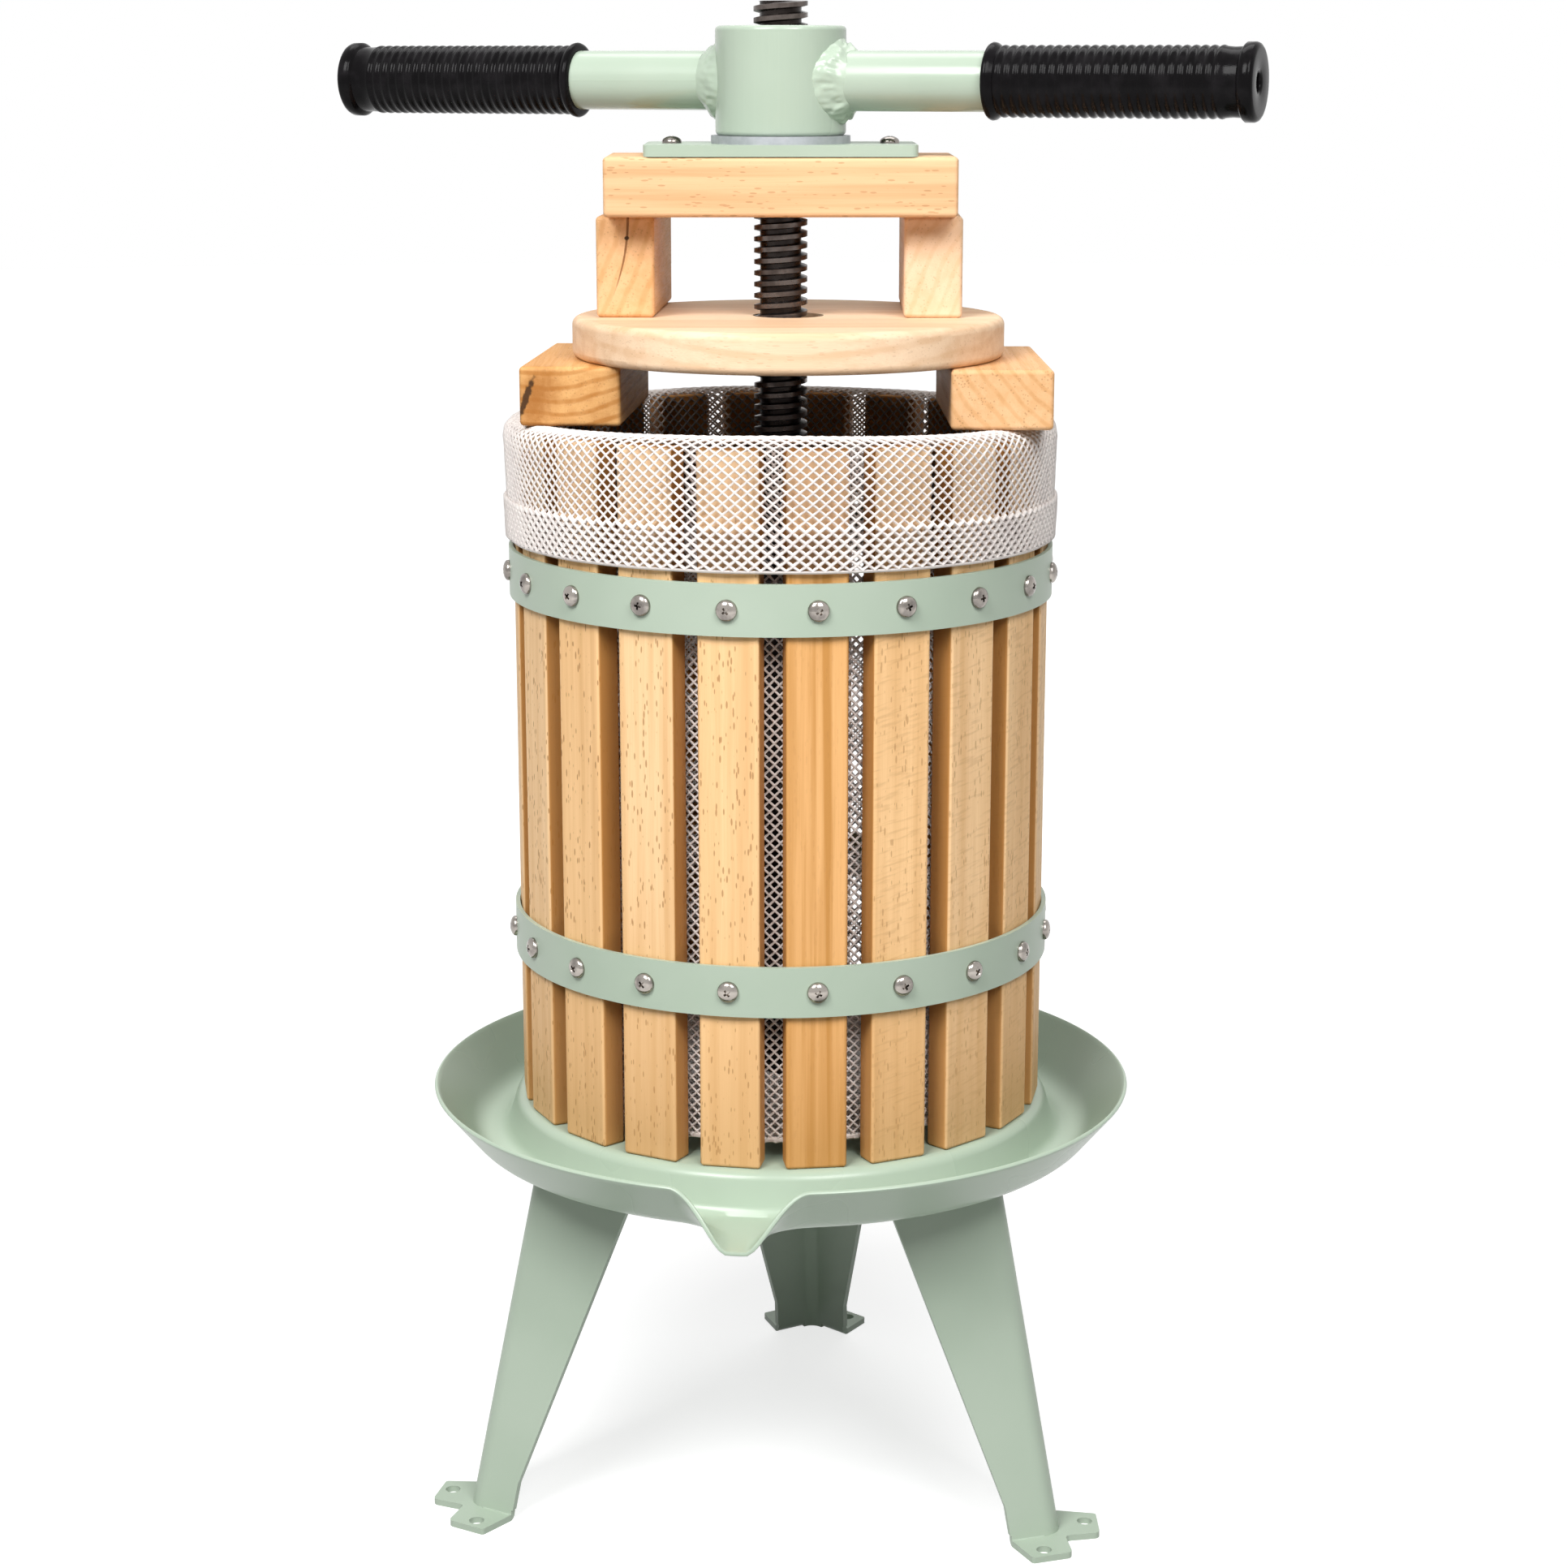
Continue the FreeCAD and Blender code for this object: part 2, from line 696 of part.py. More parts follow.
def make_leg(name, azimuth):
    """A leg folded from a tapering sheet, with joined foot tabs and top flanges."""
    heights = (size("leg_heel_height"), size("leg_straight_height"), size("platform_under"))
    leg = Part.makeLoft([leg_section(height) for height in heights], True, True)
    leg = leg.fuse(fold_heel()).fuse(foot_web())
    sideways = FreeCAD.Vector(0, 1, 0)
    for bent in (foot_tab(), top_flange()):
        leg = leg.fuse(bent).fuse(bent.mirror(FreeCAD.Vector(), sideways))
    new_feature(name, leg.removeSplitter(), azimuth)


def make_leg_fasteners():
    """Six bolts with low domed heads on the platform, their washers and their nuts."""
    top, sheet_depth = size("platform_top"), size("pan_sheet")
    head_radius, head_height = size("bolt_head_radius"), size("bolt_head_height")
    bolt = dome_screw(head_radius, head_height, size("bolt_radius"), size("bolt_length"))
    bolt.translate(FreeCAD.Vector(0, 0, top))
    washer_height = size("bolt_washer_thickness")
    washer_bottom = top - sheet_depth - size("leg_sheet") - washer_height
    washer = ring_solid(size("bolt_washer_radius"), size("bolt_hole_radius"), washer_bottom, washer_height)
    nut_height = size("bolt_nut_height")
    nut_bore = size("bolt_radius") + size("running_clearance")
    nut = hexagon_nut(size("bolt_nut_flats"), nut_height, nut_bore, washer_bottom - nut_height)
    new_feature("leg_bolts", copies(bolt, leg_bolt_placements()))
    new_feature("leg_washers", copies(washer, leg_bolt_placements()))
    new_feature("leg_nuts", copies(nut, leg_bolt_placements()))


def thread_corners(low, high):
    """Corners of a trapezoidal thread's ridges between two heights, root to crest and back."""
    crest, pitch = size("screw_radius"), size("screw_pitch")
    root = crest - pitch / 2 - size("screw_root_gap")
    flank = (crest - root) * math.tan(math.radians(size("screw_flank_angle")))
    land = pitch * size("screw_crest_share")
    corners = []
    height = low
    while height + pitch <= high:
        corners += [
            (root, height),
            (crest, height + flank),
            (crest, height + flank + land),
            (root, height + 2 * flank + land),
        ]
        height += pitch
    return corners, root


def make_spindle():
    """The press screw: a plain foot through the platform and ridges up to the chamfered end."""
    foot, top = size("spindle_bottom"), size("screw_top_height")
    crest = size("screw_radius")
    ridges_start = size("platform_top") + size("spindle_flange_thickness") + size("screw_pitch")
    ridges, root = thread_corners(ridges_start, top - size("screw_pitch") / 2)
    chamfer, end = size("screw_chamfer"), size("screw_end_chamfer")
    corners = [(0, foot), (crest - chamfer, foot), (crest, foot + chamfer), (crest, ridges_start - end)]
    corners += ridges + [(root, top - end), (root - end, top), (0, top)]
    return new_feature("spindle", turned(corners, [0] * len(corners)))


def make_spindle_fastening():
    """The flange on the platform, and the washer and nut under it."""
    bore = size("spindle_bore_radius")
    flange_thickness = size("spindle_flange_thickness")
    flange = ring_solid(size("spindle_flange_radius"), bore, size("platform_top"), flange_thickness)
    washer_bottom = size("platform_under") - size("spindle_washer_thickness")
    washer = ring_solid(size("spindle_washer_radius"), bore, washer_bottom, size("spindle_washer_thickness"))
    nut_bottom = washer_bottom - size("spindle_nut_height")
    nut = hexagon_nut(size("spindle_nut_flats"), size("spindle_nut_height"), bore, nut_bottom)
    new_feature("spindle_flange", flange)
    new_feature("spindle_washer", washer)
    new_feature("spindle_nut", nut)


# The basket


def slat_azimuth(index):
    """The direction of one slat, as an expression."""
    return f"Sizes.slat_phase + {index} * 360 / Sizes.slat_count"


def make_slat(index):
    """One beech slat standing on the platform, with two pilot holes."""
    name = f"slat_{index + 1:02d}"
    body = new_body(name)
    section = new_sketch(body, "XY_Plane", f"section_of_{name}", "Sizes.platform_top")
    half = "Sizes.slat_width / 2"
    draw_rectangle(section, "Sizes.slat_inner_radius", "Sizes.slat_outer_radius", f"-{half}", half)
    blank = pad(body, section, "Sizes.slat_length")
    round_edges(body, blank, "Sizes.slat_edge")
    pilots = new_sketch(body, "YZ_Plane", f"pilots_of_{name}", "Sizes.slat_outer_radius")
    for hoop in ("upper", "lower"):
        draw_circle(pilots, "Sizes.pilot_radius", "0", f"Sizes.hoop_{hoop}_height + Sizes.hoop_width / 2")
    pocket(body, pilots, "Sizes.basket_screw_length")
    place(body, slat_azimuth(index))


def make_hoop(name, height):
    """A flat steel hoop with one hole for each slat."""
    body = new_body(name)
    ring = new_sketch(body, "XY_Plane", f"ring_of_{name}", height)
    draw_circle(ring, "Sizes.hoop_outer_radius")
    draw_circle(ring, "Sizes.hoop_inner_radius")
    pad(body, ring, "Sizes.hoop_width")
    hole = new_sketch(body, "YZ_Plane", f"hole_of_{name}", "Sizes.hoop_outer_radius")
    draw_circle(hole, "Sizes.pilot_radius", "0", f"{height} + Sizes.hoop_width / 2")
    drilled = pocket(body, hole, "3 * Sizes.hoop_thickness")
    holes = body.newObject("PartDesign::PolarPattern", f"holes_of_{name}")
    holes.Originals = [drilled]
    holes.Axis = (origin_part(body, "Z_Axis"), [""])
    holes.Angle = 360.0
    holes.setExpression("Occurrences", "Sizes.slat_count")
    body.Tip = holes
    place(body, "Sizes.slat_phase")


def make_hoop_screws(name, hoop_height):
    """The ring of pan head screws that hold one hoop to its slats."""
    head, height = size("basket_screw_head_radius"), size("basket_screw_head_height")
    screw = dome_screw(head, height, size("basket_screw_radius"), size("basket_screw_length"))
    lying = FreeCAD.Rotation(FreeCAD.Vector(0, 1, 0), 90)
    middle = size(hoop_height) + size("hoop_width") / 2
    seat = FreeCAD.Placement(FreeCAD.Vector(size("hoop_outer_radius"), 0, middle), lying)
    count = int(size("slat_count"))
    placements = []
    for i in range(count):
        turn = FreeCAD.Rotation(UP, size("slat_phase") + i * 360.0 / count)
        placements.append(FreeCAD.Placement(FreeCAD.Vector(), turn).multiply(seat))
    new_feature(name, copies(screw, placements))


def make_bag():
    """The net bag as one thin wall: floor with an eye for the screw, liner, and the fold over the rim."""
    half = size("bag_thickness") / 2
    rim, floor = size("bag_rim_height"), size("bag_floor_height")
    hem_radius = size("hoop_inner_radius") + size("bag_hem_gap") + half
    run = [
        (hem_radius, rim - size("bag_fold_drop")),
        (size("bag_fold_radius"), rim),
        (size("bag_liner_radius"), rim),
        (size("bag_liner_radius"), floor),
        (size("screw_radius") + size("bag_eye_gap"), floor),
    ]
    rim_bend, floor_bend = size("bag_rim_bend"), size("bag_floor_bend")
    outer = offset_corners(run, -half)
    inner = offset_corners(run, half)
    lip_bend = size("bag_lip_bend")
    outer_radii = [0, rim_bend + half, lip_bend + half, floor_bend - half, 0]
    inner_radii = [0, rim_bend - half, lip_bend - half, floor_bend + half, 0]
    bag = turned(outer + inner[::-1], outer_radii + inner_radii[::-1])
    return new_feature("press_bag", bag)


def make_block(level, side, across, height, bottom):
    """A loose wooden block with rounded edges, lying or standing in the stack."""
    name = f"{level}_block_{side}"
    body = new_body(name)
    plan = new_sketch(body, "XY_Plane", f"plan_of_{name}")
    half_across, half_along = f"{across} / 2", f"Sizes.{level}_block_length / 2"
    draw_rectangle(plan, f"-{half_across}", half_across, f"-{half_along}", half_along)
    blank = pad(body, plan, height)
    round_edges(body, blank, "Sizes.wood_edge")
    sign = "-" if side == "left" else ""
    words = f"Sizes.{level}_{side}"
    place_in_stack(body, bottom, f"{words}_turn", f"{sign}{words}_reach", f"{words}_setback")


def make_blocks():
    """The two blocks across the basket's rim and the two that stand on the pressing disc."""
    for side in ("left", "right"):
        make_block("lower", side, "Sizes.block_depth", "Sizes.block_thickness", "Sizes.bag_top")
        make_block("upper", side, "Sizes.block_thickness", "Sizes.block_depth", "Sizes.disc_top")


def make_disc():
    """The round pressing plate, loose on the screw and pushed a little to one side."""
    body = new_body("pressing_disc")
    plan = new_sketch(body, "XY_Plane", "plan_of_disc")
    draw_circle(plan, "Sizes.disc_radius")
    blank = pad(body, plan, "Sizes.disc_thickness")
    round_edges(body, blank, "Sizes.disc_edge")
    bore = new_sketch(body, "XY_Plane", "bore_of_disc")
    draw_circle(bore, "Sizes.disc_bore_radius")
    pocket(body, bore)
    place_in_stack(body, "Sizes.disc_bottom", across="Sizes.disc_offset")


# The crosshead


def make_beam():
    """The wooden beam, bored for the screw and for the two plate screws."""
    body = new_body("cross_beam")
    plan = new_sketch(body, "XY_Plane", "plan_of_beam")
    half_length, half_depth = "Sizes.beam_length / 2", "Sizes.beam_depth / 2"
    draw_rectangle(plan, f"-{half_length}", half_length, f"-{half_depth}", half_depth)
    blank = pad(body, plan, "Sizes.block_thickness")
    round_edges(body, blank, "Sizes.wood_edge")
    bore = new_sketch(body, "XY_Plane", "bore_of_beam")
    draw_circle(bore, "Sizes.beam_bore_radius")
    pocket(body, bore)
    pilots = new_sketch(body, "XY_Plane", "pilots_of_beam", "Sizes.block_thickness")
    for sign in ("-", ""):
        draw_circle(pilots, "Sizes.plate_pilot_radius", f"{sign}Sizes.plate_screw_spacing / 2")
    pocket(body, pilots, "Sizes.plate_screw_length - Sizes.plate_thickness")
    place_in_stack(body, "Sizes.beam_bottom")


def make_plate():
    """The steel plate on the beam."""
    body = new_body("head_plate")
    plan = new_sketch(body, "XY_Plane", "plan_of_plate")
    half_length, half_depth = "Sizes.plate_length / 2", "Sizes.beam_depth / 2"
    draw_rectangle(plan, f"-{half_length}", half_length, f"-{half_depth}", half_depth)
    blank = pad(body, plan, "Sizes.plate_thickness")
    round_edges(body, blank, "Sizes.plate_corner", lambda edge: abs(edge.tangentAt(0).z) > 0.99)
    holes = new_sketch(body, "XY_Plane", "holes_of_plate")
    draw_circle(holes, "Sizes.beam_bore_radius")
    for sign in ("-", ""):
        draw_circle(holes, "Sizes.plate_pilot_radius", f"{sign}Sizes.plate_screw_spacing / 2")
    pocket(body, holes)
    place_in_stack(body, "Sizes.plate_bottom")


def make_plate_screws():
    """The two screws that hold the plate to the beam."""
    head, height = size("plate_screw_head_radius"), size("plate_screw_head_height")
    screw = dome_screw(head, height, size("plate_screw_radius"), size("plate_screw_length"))
    half, seat = size("plate_screw_spacing") / 2, size("washer_bottom")
    placements = [
        FreeCAD.Placement(FreeCAD.Vector(side * half, 0, seat), FreeCAD.Rotation()) for side in (-1, 1)
    ]
    new_feature("plate_screws", copies(screw, placements), size("stack_azimuth"))


def make_ring(name, outer, inner, height, bottom, edge=None):
    """A turned ring on the screw's axis."""
    body = new_body(name)
    plan = new_sketch(body, "XY_Plane", f"plan_of_{name}")
    draw_circle(plan, outer)
    draw_circle(plan, inner)
    blank = pad(body, plan, height)
    if edge:
        round_edges(body, blank, edge)
    place(body, height=bottom)
    return body


# The handle


def make_tube(side, turn):
    """One arm of the handle, cut to a saddle where it meets the hub."""
    name = f"handle_tube_{side}"
    body = new_body(name)
    section = new_sketch(body, "YZ_Plane", f"section_of_{name}")
    draw_circle(section, "Sizes.tube_radius")
    draw_circle(section, "Sizes.tube_radius - Sizes.tube_wall")
    pad(body, section, "Sizes.grip_end")
    saddle = new_sketch(body, "XY_Plane", f"saddle_of_{name}")
    draw_circle(saddle, "Sizes.hub_radius + Sizes.weld_gap")
    pocket(body, saddle)
    place(body, f"Sizes.handle_azimuth + {turn}", "Sizes.handle_height")


def make_weld(side, turn):
    """The weld bead round the root of one arm."""
    hub, tube, gap = size("hub_radius"), size("tube_radius"), size("weld_gap")
    outward = FreeCAD.Vector(1, 0, 0)
    start = hub / 2
    root = size("weld_radius") + (hub - start) / 3
    length = size("weld_reach") - start
    cone = Part.makeCone(root, tube + gap, length, FreeCAD.Vector(start, 0, 0), outward)
    arm = Part.makeCylinder(tube + gap, 2 * hub, FreeCAD.Vector(), outward)
    nut = Part.makeCylinder(hub + gap, 4 * tube, FreeCAD.Vector(0, 0, -2 * tube))
    bead = cone.cut(arm).cut(nut)
    new_feature(f"weld_bead_{side}", bead, size("handle_azimuth") + turn, size("handle_height"))


def make_grip(side, turn):
    """A rubber sleeve with a collar at each end and a closed outer end with a hole."""
    name = f"grip_{side}"
    body = new_body(name)
    section = new_sketch(body, "XZ_Plane", f"section_of_{name}")
    start, end, tip = "Sizes.grip_start", "Sizes.grip_end", "Sizes.handle_half_length"
    collar = "Sizes.grip_collar_width"
    corners = [
        (start, "Sizes.grip_bore_radius"),
        (start, "Sizes.grip_collar_radius"),
        (f"{start} + {collar}", "Sizes.grip_collar_radius"),
        (f"{start} + {collar}", "Sizes.grip_radius"),
        (f"{tip} - {collar}", "Sizes.grip_radius"),
        (f"{tip} - {collar}", "Sizes.grip_collar_radius"),
        (tip, "Sizes.grip_collar_radius"),
        (tip, "Sizes.grip_end_hole_radius"),
        (end, "Sizes.grip_end_hole_radius"),
        (end, "Sizes.grip_bore_radius"),
    ]
    draw_polygon(section, corners)
    sleeve = revolve(body, section, "H_Axis")
    collar_radius = size("grip_collar_radius")

    def on_collar(edge):
        return hasattr(edge.Curve, "Radius") and abs(edge.Curve.Radius - collar_radius) < 0.01

    round_edges(body, sleeve, "Sizes.grip_edge", on_collar)
    place(body, f"Sizes.handle_azimuth + {turn}", "Sizes.handle_height")


def make_handle():
    """The hub nut, its two arms, weld beads and grips."""
    make_ring(
        "handle_hub",
        "Sizes.hub_radius",
        "Sizes.spindle_bore_radius",
        "Sizes.hub_height",
        "Sizes.hub_bottom",
        "Sizes.hub_edge",
    )
    for side, turn in (("right", 0), ("left", 180)):
        make_tube(side, turn)
        make_weld(side, turn)
        make_grip(side, turn)


def write_pieces():
    """Checks every object and writes each piece to its own file."""
    doc.recompute()
    for thing in doc.Objects:
        if "Invalid" in thing.State or "Error" in thing.State:
            raise RuntimeError(f"{thing.Label} did not compute: {thing.State}")
    os.makedirs("parts", exist_ok=True)
    for piece in pieces:
        if piece.Shape.isNull() or not piece.Shape.isValid():
            raise RuntimeError(f"{piece.Label} has no valid shape")
        piece.Shape.exportStep(f"parts/{piece.Label}.step")
        box = piece.Shape.BoundBox
        count, volume = len(piece.Shape.Solids), piece.Shape.Volume
        print(f"{piece.Label}: {count} solid, {volume:.0f} mm3, z {box.ZMin:.1f} to {box.ZMax:.1f}")


fill_sheet()
make_pan()
for leg_name, leg_azimuth in zip(("leg_rear", "leg_front_left", "leg_front_right"), leg_azimuths()):
    make_leg(leg_name, leg_azimuth)
make_leg_fasteners()
make_spindle()
make_spindle_fastening()
for slat_index in range(int(size("slat_count"))):
    make_slat(slat_index)
for hoop in ("upper", "lower"):
    make_hoop(f"hoop_{hoop}", f"Sizes.hoop_{hoop}_height")
    make_hoop_screws(f"hoop_screws_{hoop}", f"hoop_{hoop}_height")
make_bag()
make_blocks()
make_disc()
make_beam()
make_plate()
make_plate_screws()
make_ring(
    "thrust_washer",
    "Sizes.washer_radius",
    "Sizes.washer_bore_radius",
    "Sizes.washer_thickness",
    "Sizes.washer_bottom",
)
make_handle()
write_pieces()
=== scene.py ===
"""A hand screw fruit press: tripod and drip pan, staved basket with a net bag, screw and T-handle."""

import logging
import math
import random
from dataclasses import dataclass, field
from enum import Enum

import bmesh
import bpy
from mathutils import Euler, Matrix, Vector, noise


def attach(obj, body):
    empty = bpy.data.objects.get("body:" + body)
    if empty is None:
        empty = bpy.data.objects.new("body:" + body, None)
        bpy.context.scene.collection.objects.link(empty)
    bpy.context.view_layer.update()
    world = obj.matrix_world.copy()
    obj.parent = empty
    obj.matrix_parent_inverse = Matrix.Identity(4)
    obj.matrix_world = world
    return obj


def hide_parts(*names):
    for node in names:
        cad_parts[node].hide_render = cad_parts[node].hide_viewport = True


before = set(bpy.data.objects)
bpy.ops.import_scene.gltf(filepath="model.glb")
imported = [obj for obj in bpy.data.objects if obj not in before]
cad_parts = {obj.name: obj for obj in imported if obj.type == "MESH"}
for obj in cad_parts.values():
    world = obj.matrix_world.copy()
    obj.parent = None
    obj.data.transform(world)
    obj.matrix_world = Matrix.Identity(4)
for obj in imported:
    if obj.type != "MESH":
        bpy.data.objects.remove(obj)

LOG = logging.getLogger("press")
MM = 0.001
FULL_TURN = 2.0 * math.pi
Z_AXIS = Vector((0.0, 0.0, 1.0))
ORIGIN = (0.0, 0.0, 0.0)
WHITE = (1.0, 1.0, 1.0, 1.0)
FLATTEN = (1.0, 1.0, 0.0)
MIDDLING = (0.3, 0.7)

# the basket's staves, and how far the crosshead, the board and the blocks are turned, in degrees
STAVES = 20
FIRST_STAVE = 13.8
STAVE_STEP = 360.0 / STAVES
TOP_TURN = 6.4

Colour = tuple[float, float, float]
Place = tuple[float, float, float]
Profile = tuple[tuple[float, float], ...]


class Body(Enum):
    """The moving bodies that carry the pieces made here."""

    STAND = "stand"
    BASKET = "basket"
    CROSSHEAD = "crosshead"
    HANDLE = "handle"


class Grain(Enum):
    """The way a piece of wood's fibres run, as the turn that brings them upright."""

    ALONG_X = (0.0, -90.0, 0.0)
    ALONG_Y = (90.0, 0.0, 0.0)
    ALONG_Z = (0.0, 0.0, 0.0)


# --- materials -------------------------------------------------------------------------------


class Wiring:
    """Adds nodes to one node tree and joins them."""

    def __init__(self, tree: bpy.types.NodeTree) -> None:
        """Starts from an empty tree.

        Args:
            tree: The tree, which is cleared.
        """
        self.tree = tree
        self.tree.nodes.clear()

    def node(self, kind: str, sockets: dict | None = None, **settings: object) -> bpy.types.Node:
        """Adds a node.

        Args:
            kind: Blender's name of the node's type.
            sockets: Values or linked sockets, by input name or number.
            **settings: The node's own settings.

        Returns:
            The new node.
        """
        made = self.tree.nodes.new(kind)
        for key, value in settings.items():
            setattr(made, key, value)
        for key, value in (sockets or {}).items():
            if isinstance(value, bpy.types.NodeSocket):
                self.tree.links.new(value, made.inputs[key])
            else:
                made.inputs[key].default_value = value
        return made

    def maths(self, way: str, first: object, second: object) -> bpy.types.NodeSocket:
        """Returns the result of a Math node.

        Args:
            way: The operation.
            first: The first number or socket.
            second: The second number or socket.

        Returns:
            The result's socket.
        """
        return self.node("ShaderNodeMath", {0: first, 1: second}, operation=way).outputs[0]

    def between(
        self, value: bpy.types.NodeSocket, low: float, high: float, start: float = 0.0, end: float = 1.0
    ) -> bpy.types.NodeSocket:
        """Returns a value eased from start to end while it goes from low to high."""
        sockets = {"Value": value, "From Min": low, "From Max": high, "To Min": start, "To Max": end}
        made = self.node("ShaderNodeMapRange", sockets, interpolation_type="SMOOTHSTEP")
        return made.outputs["Result"]


class Recipe(Wiring):
    """Wires the nodes of one material together."""

    def __init__(self, name: str) -> None:
        """Starts a material that holds only its shader.

        Args:
            name: The material's name.
        """
        self.material = bpy.data.materials.new(name)
        self.material.use_nodes = True
        super().__init__(self.material.node_tree)
        self.shader = self.node("ShaderNodeBsdfPrincipled")
        output = self.node("ShaderNodeOutputMaterial")
        self.tree.links.new(self.shader.outputs["BSDF"], output.inputs["Surface"])
        self.relief: bpy.types.NodeSocket | None = None

    def here(self) -> bpy.types.NodeSocket:
        """Returns the point on the piece, in the frame of the whole press."""
        return self.node("ShaderNodeTexCoord").outputs["Object"]

    def outward(self) -> bpy.types.NodeSocket:
        """Returns 1 where a face looks away from the upright axis, and -1 where it looks towards it."""
        flat = self.stretched(self.here(), FLATTEN)
        away = self.node("ShaderNodeVectorMath", {0: flat}, operation="NORMALIZE").outputs["Vector"]
        facing = self.node("ShaderNodeTexCoord").outputs["Normal"]
        turned = self.node("ShaderNodeVectorMath", {0: facing, 1: away}, operation="DOT_PRODUCT")
        return turned.outputs["Value"]

    def turned(self, where: bpy.types.NodeSocket, degrees: tuple, shift: tuple) -> bpy.types.NodeSocket:
        """Returns a point turned by Euler angles in degrees and then shifted."""
        radians = tuple(math.radians(angle) for angle in degrees)
        sockets = {"Vector": where, "Rotation": radians, "Location": shift}
        return self.node("ShaderNodeMapping", sockets).outputs["Vector"]

    def stretched(self, where: bpy.types.NodeSocket, scale: tuple) -> bpy.types.NodeSocket:
        """Returns a point scaled along each axis."""
        return self.node("ShaderNodeMapping", {"Vector": where, "Scale": scale}).outputs["Vector"]

    def radius(self) -> bpy.types.NodeSocket:
        """Returns the distance from the upright axis, in metres."""
        flat = self.stretched(self.here(), FLATTEN)
        return self.node("ShaderNodeVectorMath", {0: flat}, operation="LENGTH").outputs["Value"]

    def grains(self, fineness: float, detail: float = 2.0) -> bpy.types.NodeSocket:
        """Returns noise that is alike in all directions, with its fineness per metre."""
        return self.cloud(self.stretched(self.here(), (fineness,) * 3), detail)

    def cloud(self, where: bpy.types.NodeSocket, detail: float = 2.0) -> bpy.types.NodeSocket:
        """Returns smooth noise at unit scale."""
        sockets = {"Vector": where, "Scale": 1.0, "Detail": detail}
        return self.node("ShaderNodeTexNoise", sockets).outputs["Fac"]

    def mixed(self, share: object, below: object, above: object) -> bpy.types.NodeSocket:
        """Returns a colour that goes from below to above with the share.

        Args:
            share: From 0 to 1, a number or socket.
            below: The colour at share 0.
            above: The colour at share 1.

        Returns:
            The colour's socket.
        """
        colours = [c if isinstance(c, bpy.types.NodeSocket) else (*c, 1.0) for c in (below, above)]
        made = self.node("ShaderNodeMix", {0: share, 6: colours[0], 7: colours[1]}, data_type="RGBA")
        return made.outputs[2]

    def raise_by(self, height: bpy.types.NodeSocket, depth: float, strength: float = 1.0) -> None:
        """Adds relief to the surface.

        Args:
            height: The relief's height, from 0 to 1.
            depth: Its full depth in metres.
            strength: How much of it shows.
        """
        sockets = {"Height": height, "Distance": depth, "Strength": strength}
        if self.relief is not None:
            sockets["Normal"] = self.relief
        self.relief = self.node("ShaderNodeBump", sockets).outputs["Normal"]

    def finish(self, colour: bpy.types.NodeSocket, **levels: object) -> bpy.types.Material:
        """Joins the colour, the relief and the other levels to the shader.

        Args:
            colour: The base colour's socket.
            **levels: Other inputs of the shader, with underscores for spaces.

        Returns:
            The finished material.
        """
        self.tree.links.new(colour, self.shader.inputs["Base Color"])
        if self.relief is not None:
            self.tree.links.new(self.relief, self.shader.inputs["Normal"])
        for key, value in levels.items():
            socket = self.shader.inputs[key.replace("_", " ")]
            if isinstance(value, bpy.types.NodeSocket):
                self.tree.links.new(value, socket)
            else:
                socket.default_value = value
        return self.material


@dataclass(frozen=True)
class Mark:
    """A dark natural mark in a piece of wood, such as a knot, in millimetres, with its bend per metre."""

    centre: Place
    half: Place
    turn: Place = ORIGIN
    bend: float = 0.0
    colour: Colour = (0.05, 0.022, 0.008)
    ragged: float = 0.3
    strength: float = 1.0
    core: float = 0.55

    def add(self, recipe: Recipe, colour: bpy.types.NodeSocket) -> bpy.types.NodeSocket:
        """Draws the mark over a colour.

        Args:
            recipe: The wood's recipe.
            colour: The wood's colour.

        Returns:
            The marked colour's socket.
        """
        there = recipe.turned(recipe.here(), ORIGIN, tuple(-c * MM for c in self.centre))
        there = recipe.turned(there, self.turn, ORIGIN)
        parts = recipe.node("ShaderNodeSeparateXYZ", {0: there})
        curve = recipe.maths("MULTIPLY", parts.outputs["Z"], parts.outputs["Z"])
        across = recipe.maths("ADD", parts.outputs["X"], recipe.maths("MULTIPLY", curve, self.bend))
        sockets = {"X": across, "Y": parts.outputs["Y"], "Z": parts.outputs["Z"]}
        bent = recipe.node("ShaderNodeCombineXYZ", sockets).outputs[0]
        unit = recipe.stretched(bent, tuple(1.0 / (h * MM) for h in self.half))
        reach = recipe.node("ShaderNodeVectorMath", {0: unit}, operation="LENGTH").outputs["Value"]
        wander = recipe.maths("MULTIPLY", recipe.grains(420.0), self.ragged * 2.0)
        reach = recipe.maths("ADD", reach, wander)
        share = recipe.between(reach, self.core + self.ragged, 1.0 + self.ragged, self.strength, 0.0)
        return recipe.mixed(share, colour, self.colour)


